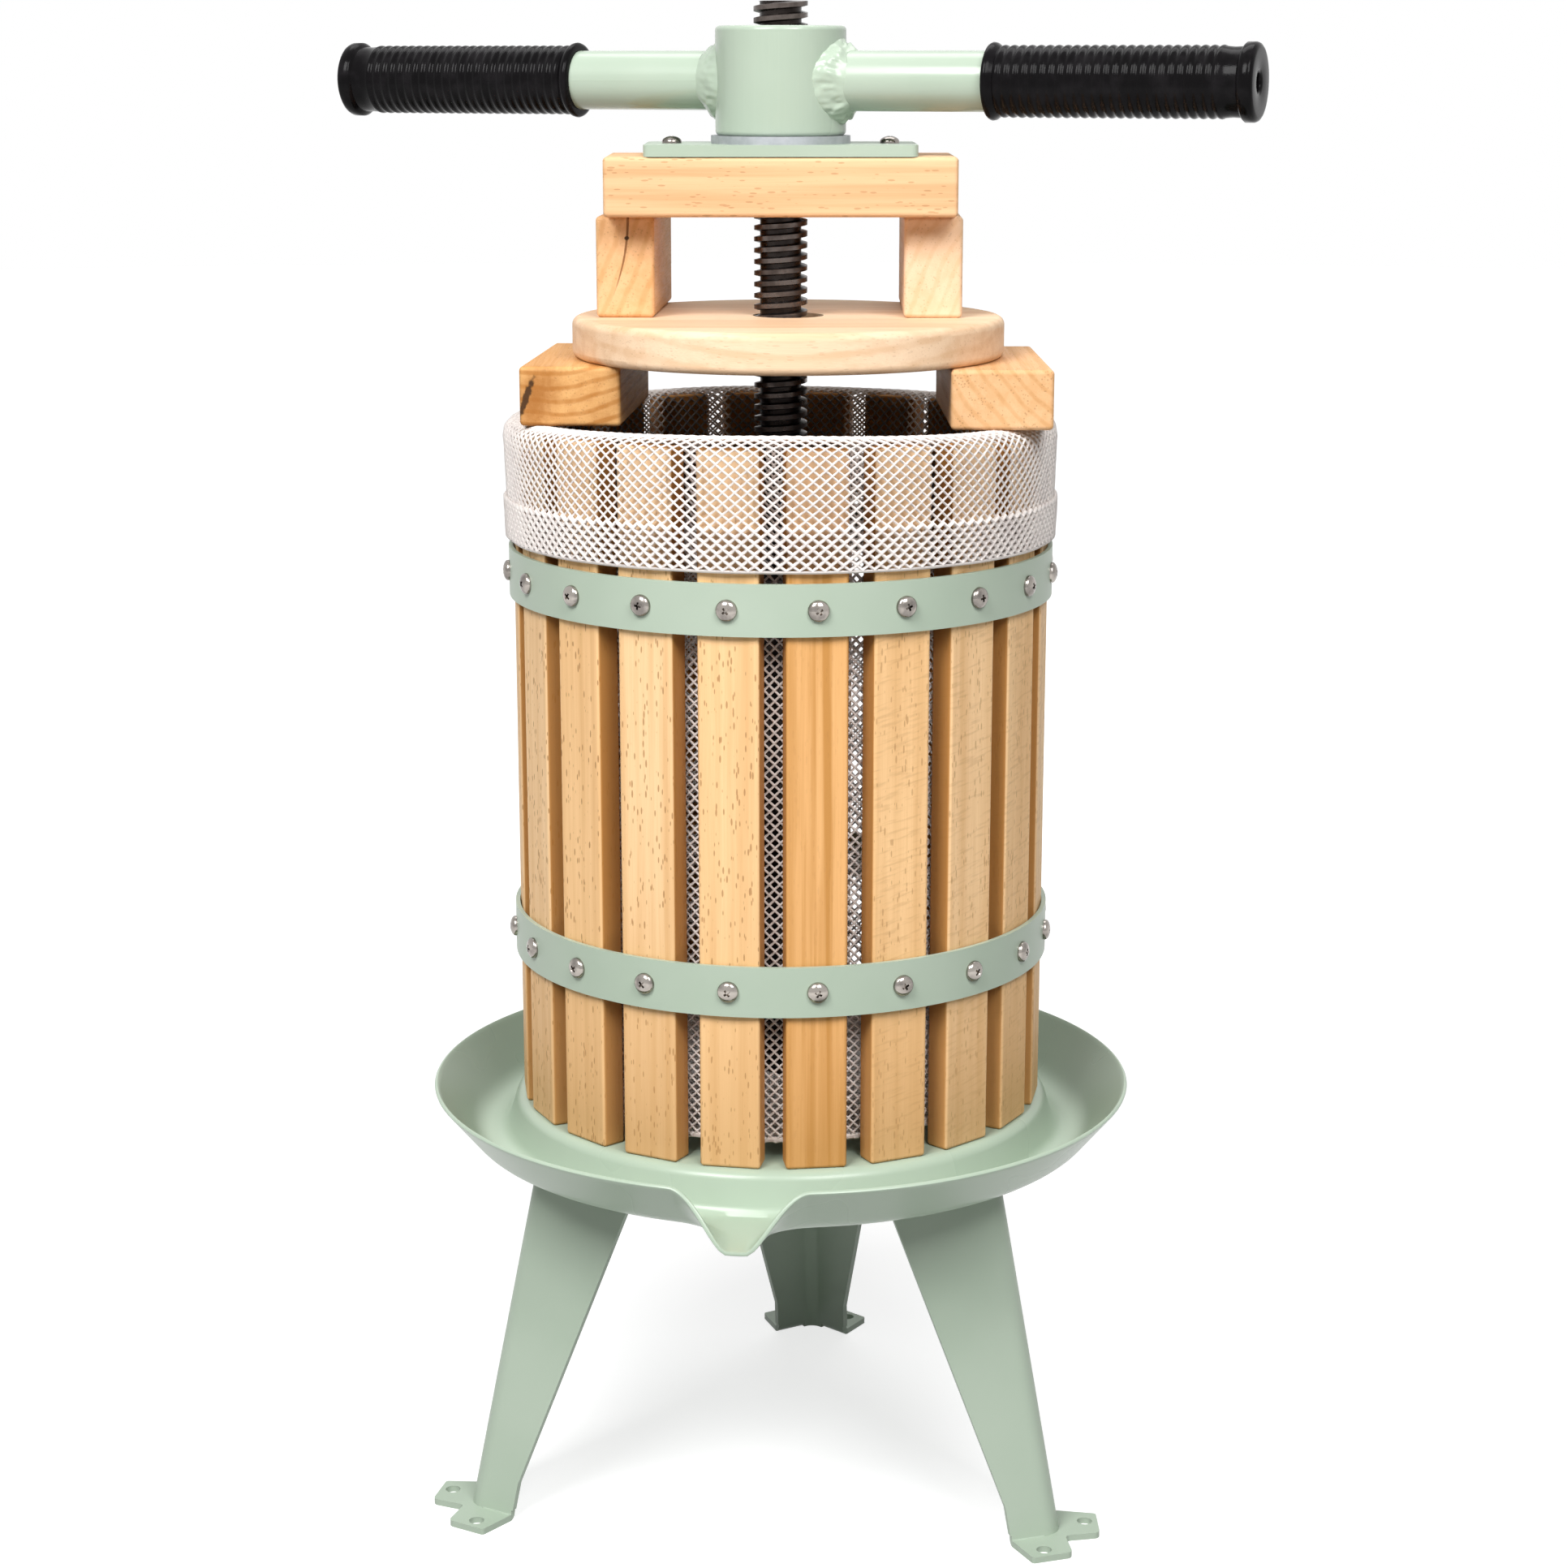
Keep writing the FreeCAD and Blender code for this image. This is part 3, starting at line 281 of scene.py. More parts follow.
@dataclass(frozen=True)
class Beech:
    """Planed beech with growth rings, fine fibres and short dark ray flecks, its heights in millimetres."""

    name: str
    grain: Grain
    seed: int
    pale: Colour = (0.84, 0.575, 0.31)
    deep: Colour = (0.64, 0.35, 0.135)
    fleck_colour: Colour = (0.34, 0.16, 0.055)
    # painted shade on a stave's side and inner faces
    side_shade_colour: Colour = (0.44, 0.19, 0.042)
    # painted light on a stave under the bag's cuff
    cuff_light_colour: Colour = (0.93, 0.76, 0.56)
    side_shade_share: float = 0.92
    facing_out_range: tuple[float, float] = (0.45, 0.80)
    # painted shade towards a stave's foot, between these heights
    foot: tuple[float, float] = (190.0, 330.0)
    foot_shade_share: float = 0.44
    cover: tuple[float, float] = (452.0, 462.0)
    cuff_light_share: float = 0.45
    turn: float = 0.0
    depth: float = 0.35
    flecks: float = 0.6
    streaks: float = 0.25
    saw: float = 0.0
    saw_slant: float = 14.0
    ring_gap: float = 5.5
    ring_wander: float = 7.0
    pith: tuple[float, float] = (0.09, 0.05)
    ring_depth: float = 0.16
    rough: tuple[float, float] = (0.50, 0.66)
    specular: float = 0.18
    fibre_relief: float = 0.12 * MM
    fleck_relief: float = 0.10 * MM
    saw_relief: float = 0.18 * MM
    shaded_sides: bool = False
    marks: tuple[Mark, ...] = ()

    def material(self) -> bpy.types.Material:
        """Returns the wood's material."""
        recipe = Recipe(self.name)
        dice = random.Random(self.seed)
        shift = tuple(dice.uniform(-1.0, 1.0) for _ in range(3))
        square = recipe.turned(recipe.here(), (0.0, 0.0, -self.turn), ORIGIN)
        along = recipe.turned(square, self.grain.value, ORIGIN)
        loose = recipe.turned(along, ORIGIN, shift)
        broad = recipe.cloud(recipe.stretched(loose, (55.0, 55.0, 5.0)))
        fibres = recipe.cloud(recipe.stretched(loose, (1500.0, 1500.0, 34.0)), 3.0)
        bands = recipe.cloud(recipe.stretched(loose, (190.0, 190.0, 3.5)), 3.0)
        share = recipe.maths("MULTIPLY", recipe.between(broad, *MIDDLING), self.depth)
        banding = recipe.maths("MULTIPLY", recipe.between(bands, 0.42, 0.62), self.streaks)
        share = recipe.maths("ADD", share, banding)
        share = recipe.maths("ADD", share, self._rings(recipe, along, loose))
        colour = recipe.mixed(share, self.pale, self.deep)
        thread = recipe.between(fibres, 0.35, 0.7, 0.0, 0.16)
        colour = recipe.mixed(thread, colour, self.deep)
        fleck = self._fleck_mask(recipe, loose)
        colour = recipe.mixed(recipe.maths("MULTIPLY", fleck, self.flecks), colour, self.fleck_colour)
        if self.saw > 0.0:
            colour = self._saw_marks(recipe, loose, colour)
        # painted shade on the side faces and the foot, and painted light under the cuff
        if self.shaded_sides:
            colour = self._painted_light_and_shade(recipe, colour)
        for mark in self.marks:
            colour = mark.add(recipe, colour)
        recipe.raise_by(fibres, self.fibre_relief, 0.5)
        recipe.raise_by(recipe.maths("SUBTRACT", 1.0, fleck), self.fleck_relief, 0.4)
        rough = recipe.between(fibres, *MIDDLING, *self.rough)
        return recipe.finish(colour, Roughness=rough, Specular_IOR_Level=self.specular)

    def _rings(
        self, recipe: Recipe, along: bpy.types.NodeSocket, loose: bpy.types.NodeSocket
    ) -> bpy.types.NodeSocket:
        """Returns the growth rings' share of the deep tone.

        Args:
            recipe: The wood's recipe.
            along: The point with the fibres upright.
            loose: The same point, shifted by the piece's seed.

        Returns:
            The share's socket.
        """
        flat = recipe.stretched(along, (1.0, 1.0, 0.03))
        pith = (self.pith[0], self.pith[1], 0.0)
        reach = recipe.node("ShaderNodeVectorMath", {0: flat, 1: pith}, operation="DISTANCE").outputs["Value"]
        wander = recipe.cloud(recipe.stretched(loose, (35.0, 35.0, 6.0)))
        phase = recipe.maths("MULTIPLY", reach, FULL_TURN / (self.ring_gap * MM))
        phase = recipe.maths("ADD", phase, recipe.maths("MULTIPLY", wander, self.ring_wander))
        wave = recipe.maths("SINE", phase, 0.0)
        return recipe.between(wave, 0.1, 1.0, 0.0, self.ring_depth)

    def _fleck_mask(self, recipe: Recipe, loose: bpy.types.NodeSocket) -> bpy.types.NodeSocket:
        """Returns 1 on the ray flecks and 0 between them."""
        cells = recipe.stretched(loose, (700.0, 700.0, 165.0))
        sockets = {"Vector": cells, "Scale": 1.0, "Randomness": 1.0}
        reach = recipe.node("ShaderNodeTexVoronoi", sockets).outputs["Distance"]
        size = recipe.cloud(recipe.stretched(loose, (260.0, 260.0, 60.0)))
        size = recipe.between(size, 0.38, 0.62, 0.08, 0.31)
        gap = recipe.maths("SUBTRACT", reach, size)
        return recipe.between(gap, -0.06, 0.03, 1.0, 0.0)

    def _painted_light_and_shade(self, recipe: Recipe, colour: bpy.types.NodeSocket) -> bpy.types.NodeSocket:
        """Paints shade on a stave's side and inner faces and on its foot, and paints light on it under the
        bag's cuff.

        Args:
            recipe: The wood's recipe.
            colour: The wood's colour.

        Returns:
            The shaded colour's socket.
        """
        # painted shade: the faces that look sideways or inwards are darkened
        outward = recipe.outward()
        front_share = recipe.between(outward, *self.facing_out_range)
        share = recipe.between(outward, *self.facing_out_range, self.side_shade_share, 0.0)
        colour = recipe.mixed(share, colour, self.side_shade_colour)
        height = recipe.node("ShaderNodeSeparateXYZ", {0: recipe.here()}).outputs["Z"]
        # painted shade: darker towards the stave's foot
        share = recipe.between(height, self.foot[0] * MM, self.foot[1] * MM, self.foot_shade_share, 0.0)
        colour = recipe.mixed(share, colour, self.deep)
        # painted light: paler where the bag's cuff covers the stave
        share = recipe.between(height, self.cover[0] * MM, self.cover[1] * MM, 0.0, self.cuff_light_share)
        return recipe.mixed(recipe.maths("MULTIPLY", share, front_share), colour, self.cuff_light_colour)

    def _saw_marks(
        self, recipe: Recipe, loose: bpy.types.NodeSocket, colour: bpy.types.NodeSocket
    ) -> bpy.types.NodeSocket:
        """Draws the slanting strokes that a rough planer leaves.

        Args:
            recipe: The wood's recipe.
            loose: The point with the fibres upright.
            colour: The wood's colour.

        Returns:
            The marked colour's socket.
        """
        slant = recipe.turned(loose, (0.0, self.saw_slant, 0.0), ORIGIN)
        strokes = recipe.cloud(recipe.stretched(slant, (95.0, 95.0, 620.0)), 2.0)
        share = recipe.between(strokes, 0.5, 0.72, 0.0, self.saw)
        recipe.raise_by(strokes, self.saw_relief, 0.5)
        return recipe.mixed(share, colour, self.fleck_colour)


@dataclass(frozen=True)
class Enamel:
    """Sprayed pale green enamel, with faint orange peel, brushed-out streaks and painted shade on a pan's
    inner faces.
    """

    name: str
    colour: Colour = (0.385, 0.47, 0.372)
    dusty: Colour = (0.42, 0.50, 0.405)
    shine: float = 0.30
    gloss: float = 0.35
    unevenness: float = 0.08
    peel_relief: float = 0.05 * MM
    strokes: tuple[float, float, float] = (60.0, 60.0, 60.0)
    stroke_relief: float = 0.06 * MM
    # painted shade on the faces that look towards the upright axis
    inner_shade: float = 0.0
    inner_shade_colour: Colour = (0.17, 0.225, 0.158)

    def material(self) -> bpy.types.Material:
        """Returns the enamel's material."""
        recipe = Recipe(self.name)
        broad = recipe.grains(14.0)
        peel = recipe.grains(650.0)
        brushed = recipe.cloud(recipe.stretched(recipe.here(), self.strokes), 3.0)
        colour = recipe.mixed(recipe.between(broad, *MIDDLING), self.colour, self.dusty)
        colour = recipe.mixed(recipe.between(brushed, 0.45, 0.75, 0.0, 0.25), colour, self.dusty)
        # painted shade: darker where the pan's faces look towards the axis
        if self.inner_shade > 0.0:
            share = recipe.between(recipe.outward(), -0.15, -0.75, 0.0, self.inner_shade)
            colour = recipe.mixed(share, colour, self.inner_shade_colour)
        recipe.raise_by(peel, self.peel_relief, 0.25)
        recipe.raise_by(brushed, self.stroke_relief, 0.3)
        rough = recipe.between(broad, *MIDDLING, self.shine, self.shine + self.unevenness)
        return recipe.finish(colour, Roughness=rough, Specular_IOR_Level=self.gloss)


@dataclass(frozen=True)
class Steel:
    """Metal with fine turning marks and a cloudy surface, darker within its core radius in metres."""

    name: str
    bright: Colour
    dull: Colour
    low_rough: float = 0.2
    high_rough: float = 0.4
    metal: float = 1.0
    core_radius: float = 0.0
    core_fade: float = 2.4 * MM
    core_share: float = 0.85
    # the darker colour towards a thread's root
    core_colour: Colour = (0.012, 0.009, 0.008)
    relief: float = 0.06 * MM

    def material(self) -> bpy.types.Material:
        """Returns the metal's material."""
        recipe = Recipe(self.name)
        cloudy = recipe.grains(160.0, 4.0)
        turned = recipe.cloud(recipe.stretched(recipe.here(), (90.0, 90.0, 2600.0)), 2.0)
        colour = recipe.mixed(recipe.between(cloudy, 0.35, 0.68), self.bright, self.dull)
        # darker towards the thread's root, within the core radius
        if self.core_radius > 0.0:
            edge = self.core_radius + self.core_fade
            shade = recipe.between(recipe.radius(), self.core_radius, edge, self.core_share, 0.0)
            colour = recipe.mixed(shade, colour, self.core_colour)
        recipe.raise_by(turned, self.relief, 0.5)
        rough = recipe.between(cloudy, *MIDDLING, self.low_rough, self.high_rough)
        return recipe.finish(colour, Roughness=rough, Metallic=self.metal)


@dataclass(frozen=True)
class Thread:
    """White knitted synthetic yarn, with painted shade where the bag's mouth lies on the staves inside the
    basket, in millimetres.
    """

    name: str
    clean: Colour = (0.91, 0.85, 0.81)
    shade: Colour = (0.82, 0.745, 0.715)
    # painted shade on the net inside the basket, over the staves
    inside_shade: Colour = (0.10, 0.07, 0.055)
    inside_shade_share: float = 0.80
    inside_shade_radius: tuple[float, float] = (109.5, 112.0)
    mouth: tuple[float, float] = (440.0, 456.0)
    rough: tuple[float, float] = (0.62, 0.8)
    specular: float = 0.12
    sheen: float = 0.05
    relief: float = 0.25 * MM

    def material(self) -> bpy.types.Material:
        """Returns the yarn's material."""
        recipe = Recipe(self.name)
        patch = recipe.grains(120.0)
        stitch = recipe.grains(2400.0, 3.0)
        colour = recipe.mixed(recipe.between(patch, 0.35, 0.7, 0.0, 0.6), self.clean, self.shade)
        # painted shade on the strands inside the basket
        colour = recipe.mixed(self._inside_shade(recipe), colour, self.inside_shade)
        recipe.raise_by(stitch, self.relief, 0.8)
        rough = recipe.between(stitch, *MIDDLING, *self.rough)
        levels = {"Sheen_Weight": self.sheen, "Specular_IOR_Level": self.specular}
        return recipe.finish(colour, Roughness=rough, **levels)

    def _inside_shade(self, recipe: Recipe) -> bpy.types.NodeSocket:
        """Returns the share of painted shade on the yarn, where the bag's mouth lies on the staves inside the
        basket.

        Args:
            recipe: The yarn's recipe.

        Returns:
            The share's socket.
        """
        place = recipe.node("ShaderNodeSeparateXYZ", {0: recipe.here()})
        first_gap = math.radians(FIRST_STAVE + STAVE_STEP / 2.0)
        azimuth = recipe.maths("ARCTAN2", place.outputs["Y"], place.outputs["X"])
        azimuth = recipe.maths("SUBTRACT", azimuth, first_gap)
        wave = recipe.maths("COSINE", recipe.maths("MULTIPLY", azimuth, float(STAVES)), 0.0)
        on_stave = recipe.between(wave, 0.35, 0.75, self.inside_shade_share, 0.0)
        near, far = self.inside_shade_radius
        inside = recipe.between(recipe.radius(), near * MM, far * MM, 1.0, 0.0)
        low, high = self.mouth
        mouth = recipe.between(place.outputs["Z"], low * MM, high * MM)
        return recipe.maths("MULTIPLY", recipe.maths("MULTIPLY", on_stave, inside), mouth)


@dataclass(frozen=True)
class Rubber:
    """Black moulded grip rubber."""

    name: str
    black: Colour = (0.004, 0.0035, 0.004)
    grey: Colour = (0.009, 0.008, 0.009)
    rough: tuple[float, float] = (0.11, 0.20)
    specular: float = 0.06
    relief: float = 0.05 * MM

    def material(self) -> bpy.types.Material:
        """Returns the rubber's material."""
        recipe = Recipe(self.name)
        bloom = recipe.grains(110.0, 4.0)
        skin = recipe.grains(1700.0)
        colour = recipe.mixed(recipe.between(bloom, 0.4, 0.7), self.black, self.grey)
        recipe.raise_by(skin, self.relief, 0.5)
        rough = recipe.between(bloom, *MIDDLING, *self.rough)
        return recipe.finish(colour, Roughness=rough, Specular_IOR_Level=self.specular)


# --- shared workshop jobs --------------------------------------------------------------------


def dressed(node: str, material: bpy.types.Material) -> None:
    """Gives a carried-over node its finish.

    Args:
        node: The node's name.
        material: Its finish.
    """
    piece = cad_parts[node]
    if not piece.material_slots:
        piece.data.materials.append(material)
    for place in piece.material_slots:
        place.material = material
    LOG.info("dressed %s in %s", node, material.name)


def finished(
    name: str,
    form: bmesh.types.BMesh,
    material: bpy.types.Material,
    body: Body,
    replaced: tuple[str, ...] = (),
    crease: float = 35.0,
) -> bpy.types.Object:
    """Turns a form into a piece that rides on its body.

    Args:
        name: The piece's name.
        form: Its shape, which is freed.
        material: Its finish.
        body: The body that carries it.
        replaced: The nodes that it stands for.
        crease: The angle in degrees past which an edge stays sharp.

    Returns:
        The piece.
    """
    mesh = bpy.data.meshes.new(name)
    form.to_mesh(mesh)
    form.free()
    mesh.shade_smooth()
    mesh.set_sharp_from_angle(angle=math.radians(crease))
    mesh.materials.append(material)
    piece = bpy.data.objects.new(name, mesh)
    bpy.context.scene.collection.objects.link(piece)
    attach(piece, body.value)
    if replaced:
        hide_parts(*replaced)
    LOG.info("made %s with %d faces", name, len(mesh.polygons))
    return piece


def spun(profile: list[tuple[float, float]], steps: int, closed: bool) -> bmesh.types.BMesh:
    """Spins a profile once about Z.

    Args:
        profile: Radius and height of each corner, in millimetres.
        steps: How many facets go round.
        closed: Whether the profile's last corner joins its first.

    Returns:
        The turned form, with its faces outwards where it is closed.
    """
    form = bmesh.new()
    corners = [form.verts.new((radius * MM, 0.0, height * MM)) for radius, height in profile]
    edges = [form.edges.new(pair) for pair in zip(corners, corners[1:])]
    if closed:
        edges.append(form.edges.new((corners[-1], corners[0])))
    bmesh.ops.spin(
        form,
        geom=corners + edges,
        cent=ORIGIN,
        axis=Z_AXIS,
        dvec=ORIGIN,
        angle=FULL_TURN,
        steps=steps,
        use_merge=True,
    )
    bmesh.ops.remove_doubles(form, verts=form.verts, dist=0.01 * MM)
    bmesh.ops.recalc_face_normals(form, faces=form.faces)
    return form


def share_between(value: float, low: float, high: float) -> float:
    """Returns how far a value has gone from low to high, from 0 to 1."""
    return min(1.0, max(0.0, (value - low) / (high - low)))


def rounded(run: list[tuple[float, float]], bends: list[float], steps: int) -> list[tuple[float, float]]:
    """Rounds the corners of an open run.

    Args:
        run: The run's corners.
        bends: The bend radius at each corner, 0 for a sharp one.
        steps: How many steps each bend is divided into.

    Returns:
        The corners of the rounded run.
    """
    made = []
    for index, (corner, bend) in enumerate(zip(run, bends)):
        if bend == 0.0:
            made.append(corner)
            continue
        here = Vector(corner)
        back = (Vector(run[index - 1]) - here).normalized()
        ahead = (Vector(run[index + 1]) - here).normalized()
        half = back.angle(ahead) / 2.0
        centre = here + (back + ahead).normalized() * (bend / math.sin(half))
        first = here + back * (bend / math.tan(half)) - centre
        last = here + ahead * (bend / math.tan(half)) - centre
        sweep = math.atan2(first.x * last.y - first.y * last.x, first.dot(last))
        for step in range(steps + 1):
            spoke = Matrix.Rotation(sweep * step / steps, 2) @ first
            made.append(tuple(centre + spoke))
    return made


def applied(mesh: bpy.types.Mesh, kind: str, **settings: object) -> bpy.types.Mesh:
    """Runs one modifier on a mesh.

    Args:
        mesh: The mesh, which is removed.
        kind: The modifier's type.
        **settings: Its settings.

    Returns:
        The new mesh.
    """
    helper = bpy.data.objects.new("helper", mesh)
    bpy.context.scene.collection.objects.link(helper)
    modifier = helper.modifiers.new("step", kind)
    for key, value in settings.items():
        setattr(modifier, key, value)
    graph = bpy.context.evaluated_depsgraph_get()
    made = bpy.data.meshes.new_from_object(helper.evaluated_get(graph), depsgraph=graph)
    bpy.data.objects.remove(helper)
    bpy.data.meshes.remove(mesh)
    return made


def as_mesh(form: bmesh.types.BMesh) -> bpy.types.Mesh:
    """Writes a form to a mesh and frees it."""
    mesh = bpy.data.meshes.new("step")
    form.to_mesh(mesh)
    form.free()
    return mesh


def as_form(mesh: bpy.types.Mesh) -> bmesh.types.BMesh:
    """Reads a form from a mesh, which is removed."""
    form = bmesh.new()
    form.from_mesh(mesh)
    bpy.data.meshes.remove(mesh)
    return form


# --- stand -----------------------------------------------------------------------------------


@dataclass
class Screw:
    """The upright screw, in millimetres."""

    crest: float = 12.0
    root: float = 9.25
    pitch: float = 5.0
    bottom: float = 200.0
    top: float = 689.3
    foot: float = 162.0
    facets: int = 40
    crest_width: float = 2.0
    root_width: float = 1.7
    shank_chamfer: float = 1.0
    shank_overlap: float = 0.2

    def make(self, material: bpy.types.Material) -> None:
        """Builds the screw with its real right hand thread."""
        form = bmesh.new()
        flank = (self.pitch - self.crest_width - self.root_width) / 2.0
        start = self.bottom - self.pitch
        heights = [0.0, self.root_width, self.root_width + flank, self.pitch - flank, self.pitch]
        radii = [self.root, self.root, self.crest, self.crest, self.root]
        corners = [form.verts.new((r * MM, 0.0, (start + h) * MM)) for r, h in zip(radii, heights)]
        edges = [form.edges.new(pair) for pair in zip(corners, corners[1:])]
        turns = math.ceil((self.top - start) / self.pitch) + 1
        bmesh.ops.spin(
            form,
            geom=corners + edges,
            cent=ORIGIN,
            axis=Z_AXIS,
            dvec=(0.0, 0.0, self.pitch * MM / self.facets),
            angle=FULL_TURN * turns,
            steps=self.facets * turns,
            use_merge=False,
        )
        bmesh.ops.remove_doubles(form, verts=form.verts, dist=0.02 * MM)
        self._trim(form, self.top, 1.0)
        self._trim(form, self.bottom, -1.0)
        bmesh.ops.recalc_face_normals(form, faces=form.faces)
        shank = as_mesh(self._shank())
        form.from_mesh(shank)
        bpy.data.meshes.remove(shank)
        finished("screw_thread", form, material, Body.STAND, ("spindle",), crease=30.0)

    def _shank(self) -> bmesh.types.BMesh:
        """Returns the plain shank below the thread, chamfered at its top."""
        shoulder = self.bottom + self.shank_overlap
        top = shoulder + self.shank_chamfer
        side = [(self.crest, self.foot), (self.crest, shoulder), (self.root, top)]
        return spun([(0.0, self.foot), *side, (0.0, top)], self.facets, False)

    def _trim(self, form: bmesh.types.BMesh, height: float, side: float) -> None:
        """Cuts the thread square at a height and closes it.

        Args:
            form: The thread.
            height: Where it ends.
            side: 1 to cut off what is above, -1 what is below.
        """
        cut = bmesh.ops.bisect_plane(
            form,
            geom=form.verts[:] + form.edges[:] + form.faces[:],
            plane_co=(0.0, 0.0, height * MM),
            plane_no=(0.0, 0.0, side),
            clear_outer=True,
        )
        rim = [item for item in cut["geom_cut"] if isinstance(item, bmesh.types.BMEdge)]
        bmesh.ops.edgeloop_fill(form, edges=rim)


@dataclass
class PressedPan:
    """The drip pan: platform, channel, flared wall and beak spout, in millimetres."""

    sheet: float = 2.0
    bore: float = 12.05
    platform_top: float = 190.0
    platform_radius: float = 124.5
    step_foot: float = 130.0
    step_bend: float = 6.0
    floor: float = 171.5
    floor_radius: float = 142.5
    wall_bend: float = 16.0
    rim_radius: float = 162.6
    rim_height: float = 195.7
    spout_floor: float = 170.9
    spout_lip: float = 171.5
    spout_start: float = 131.0
    spout_flat: float = 4.0
    spout_half: float = 31.0
    spout_ease: float = 0.74
    facets: int = 480
    bend_steps: int = 7
    wall_steps: int = 9
    edge: float = 0.75
    edge_angle: float = 60.0

    def make(self, material: bpy.types.Material) -> None:
        """Builds the pan from one spun sheet, with the spout drawn out of its wall."""
        run = [
            (self.bore, self.platform_top),
            (self.platform_radius, self.platform_top),
            (self.step_foot, self.floor),
            (self.floor_radius, self.floor),
            (self.rim_radius, self.rim_height),
        ]
        bends = [0.0, self.step_bend, self.step_bend, self.wall_bend, 0.0]
        profile = rounded(run, bends, self.bend_steps)
        last, rim = profile[-2], profile[-1]
        shares = [step / self.wall_steps for step in range(1, self.wall_steps)]
        climb = [(last[0] + (rim[0] - last[0]) * s, last[1] + (rim[1] - last[1]) * s) for s in shares]
        form = spun(profile[:-1] + climb + [rim], self.facets, False)
        if next(iter(form.faces)).normal.z < 0.0:
            bmesh.ops.reverse_faces(form, faces=form.faces)
        self._draw_spout(form)
        form.normal_update()
        mesh = applied(as_mesh(form), "SOLIDIFY", thickness=self.sheet * MM, offset=-1.0)
        edges = {"limit_method": "ANGLE", "angle_limit": math.radians(self.edge_angle)}
        mesh = applied(mesh, "BEVEL", width=self.edge * MM, segments=2, **edges)
        finished("pressed_pan", as_form(mesh), material, Body.STAND, ("juice_pan",), crease=40.0)

    def _draw_spout(self, form: bmesh.types.BMesh) -> None:
        """Draws the beak spout out of the wall on the -Y side."""
        for vert in form.verts:
            x, y, z = vert.co / MM
            reach = math.hypot(x, y)
            if reach < self.spout_start or y > 0.0:
                continue
            share = share_between(reach, self.spout_start, self.rim_radius)
            side = share_between(abs(x), self.spout_flat, self.spout_half)
            pull = 0.5 + 0.5 * math.cos(math.pi * side ** self.spout_ease)
            front = -(self.spout_start + (self.spout_lip - self.spout_start) * share)
            low = self.floor + (self.spout_floor - self.floor) * share
            vert.co.y = (y + (front - y) * pull) * MM
            vert.co.z = (z + (low - z) * pull) * MM


@dataclass
class Stand:
    """Tripod, drip pan, screw and the fastening under the pan."""

    # how far past the thread's root the darker core reaches, in millimetres
    core_margin: float = 0.35
    pan: PressedPan = field(default_factory=PressedPan)
    screw: Screw = field(default_factory=Screw)

    def build(self) -> None:
        """Makes and dresses the stand."""
        # the pan's enamel carries painted shade on its inner faces
        pan = Enamel(
            "enamel_pan", (0.405, 0.50, 0.392), (0.43, 0.525, 0.417), shine=0.25, gloss=0.36, inner_shade=0.66
        ).material()
        legs = Enamel("enamel_legs", shine=0.36).material()
        zinc = Steel("zinc_plate", (0.62, 0.63, 0.66), (0.42, 0.43, 0.46), 0.25, 0.42).material()
        core = self.screw.root + self.core_margin
        iron = Steel(
            "screw_steel", (0.135, 0.112, 0.102), (0.060, 0.048, 0.043), 0.24, 0.42, 0.9, core * MM
        ).material()
        flange = Steel("flange_steel", (0.16, 0.14, 0.13), (0.08, 0.07, 0.065), 0.3, 0.45, 0.9).material()
        self.pan.make(pan)
        for name in ("leg_front_left", "leg_front_right", "leg_rear"):
            dressed(name, legs)
        for name in ("leg_bolts", "leg_washers", "leg_nuts", "spindle_washer", "spindle_nut"):
            dressed(name, zinc)
        dressed("spindle_flange", flange)
        self.screw.make(iron)


# --- basket ----------------------------------------------------------------------------------


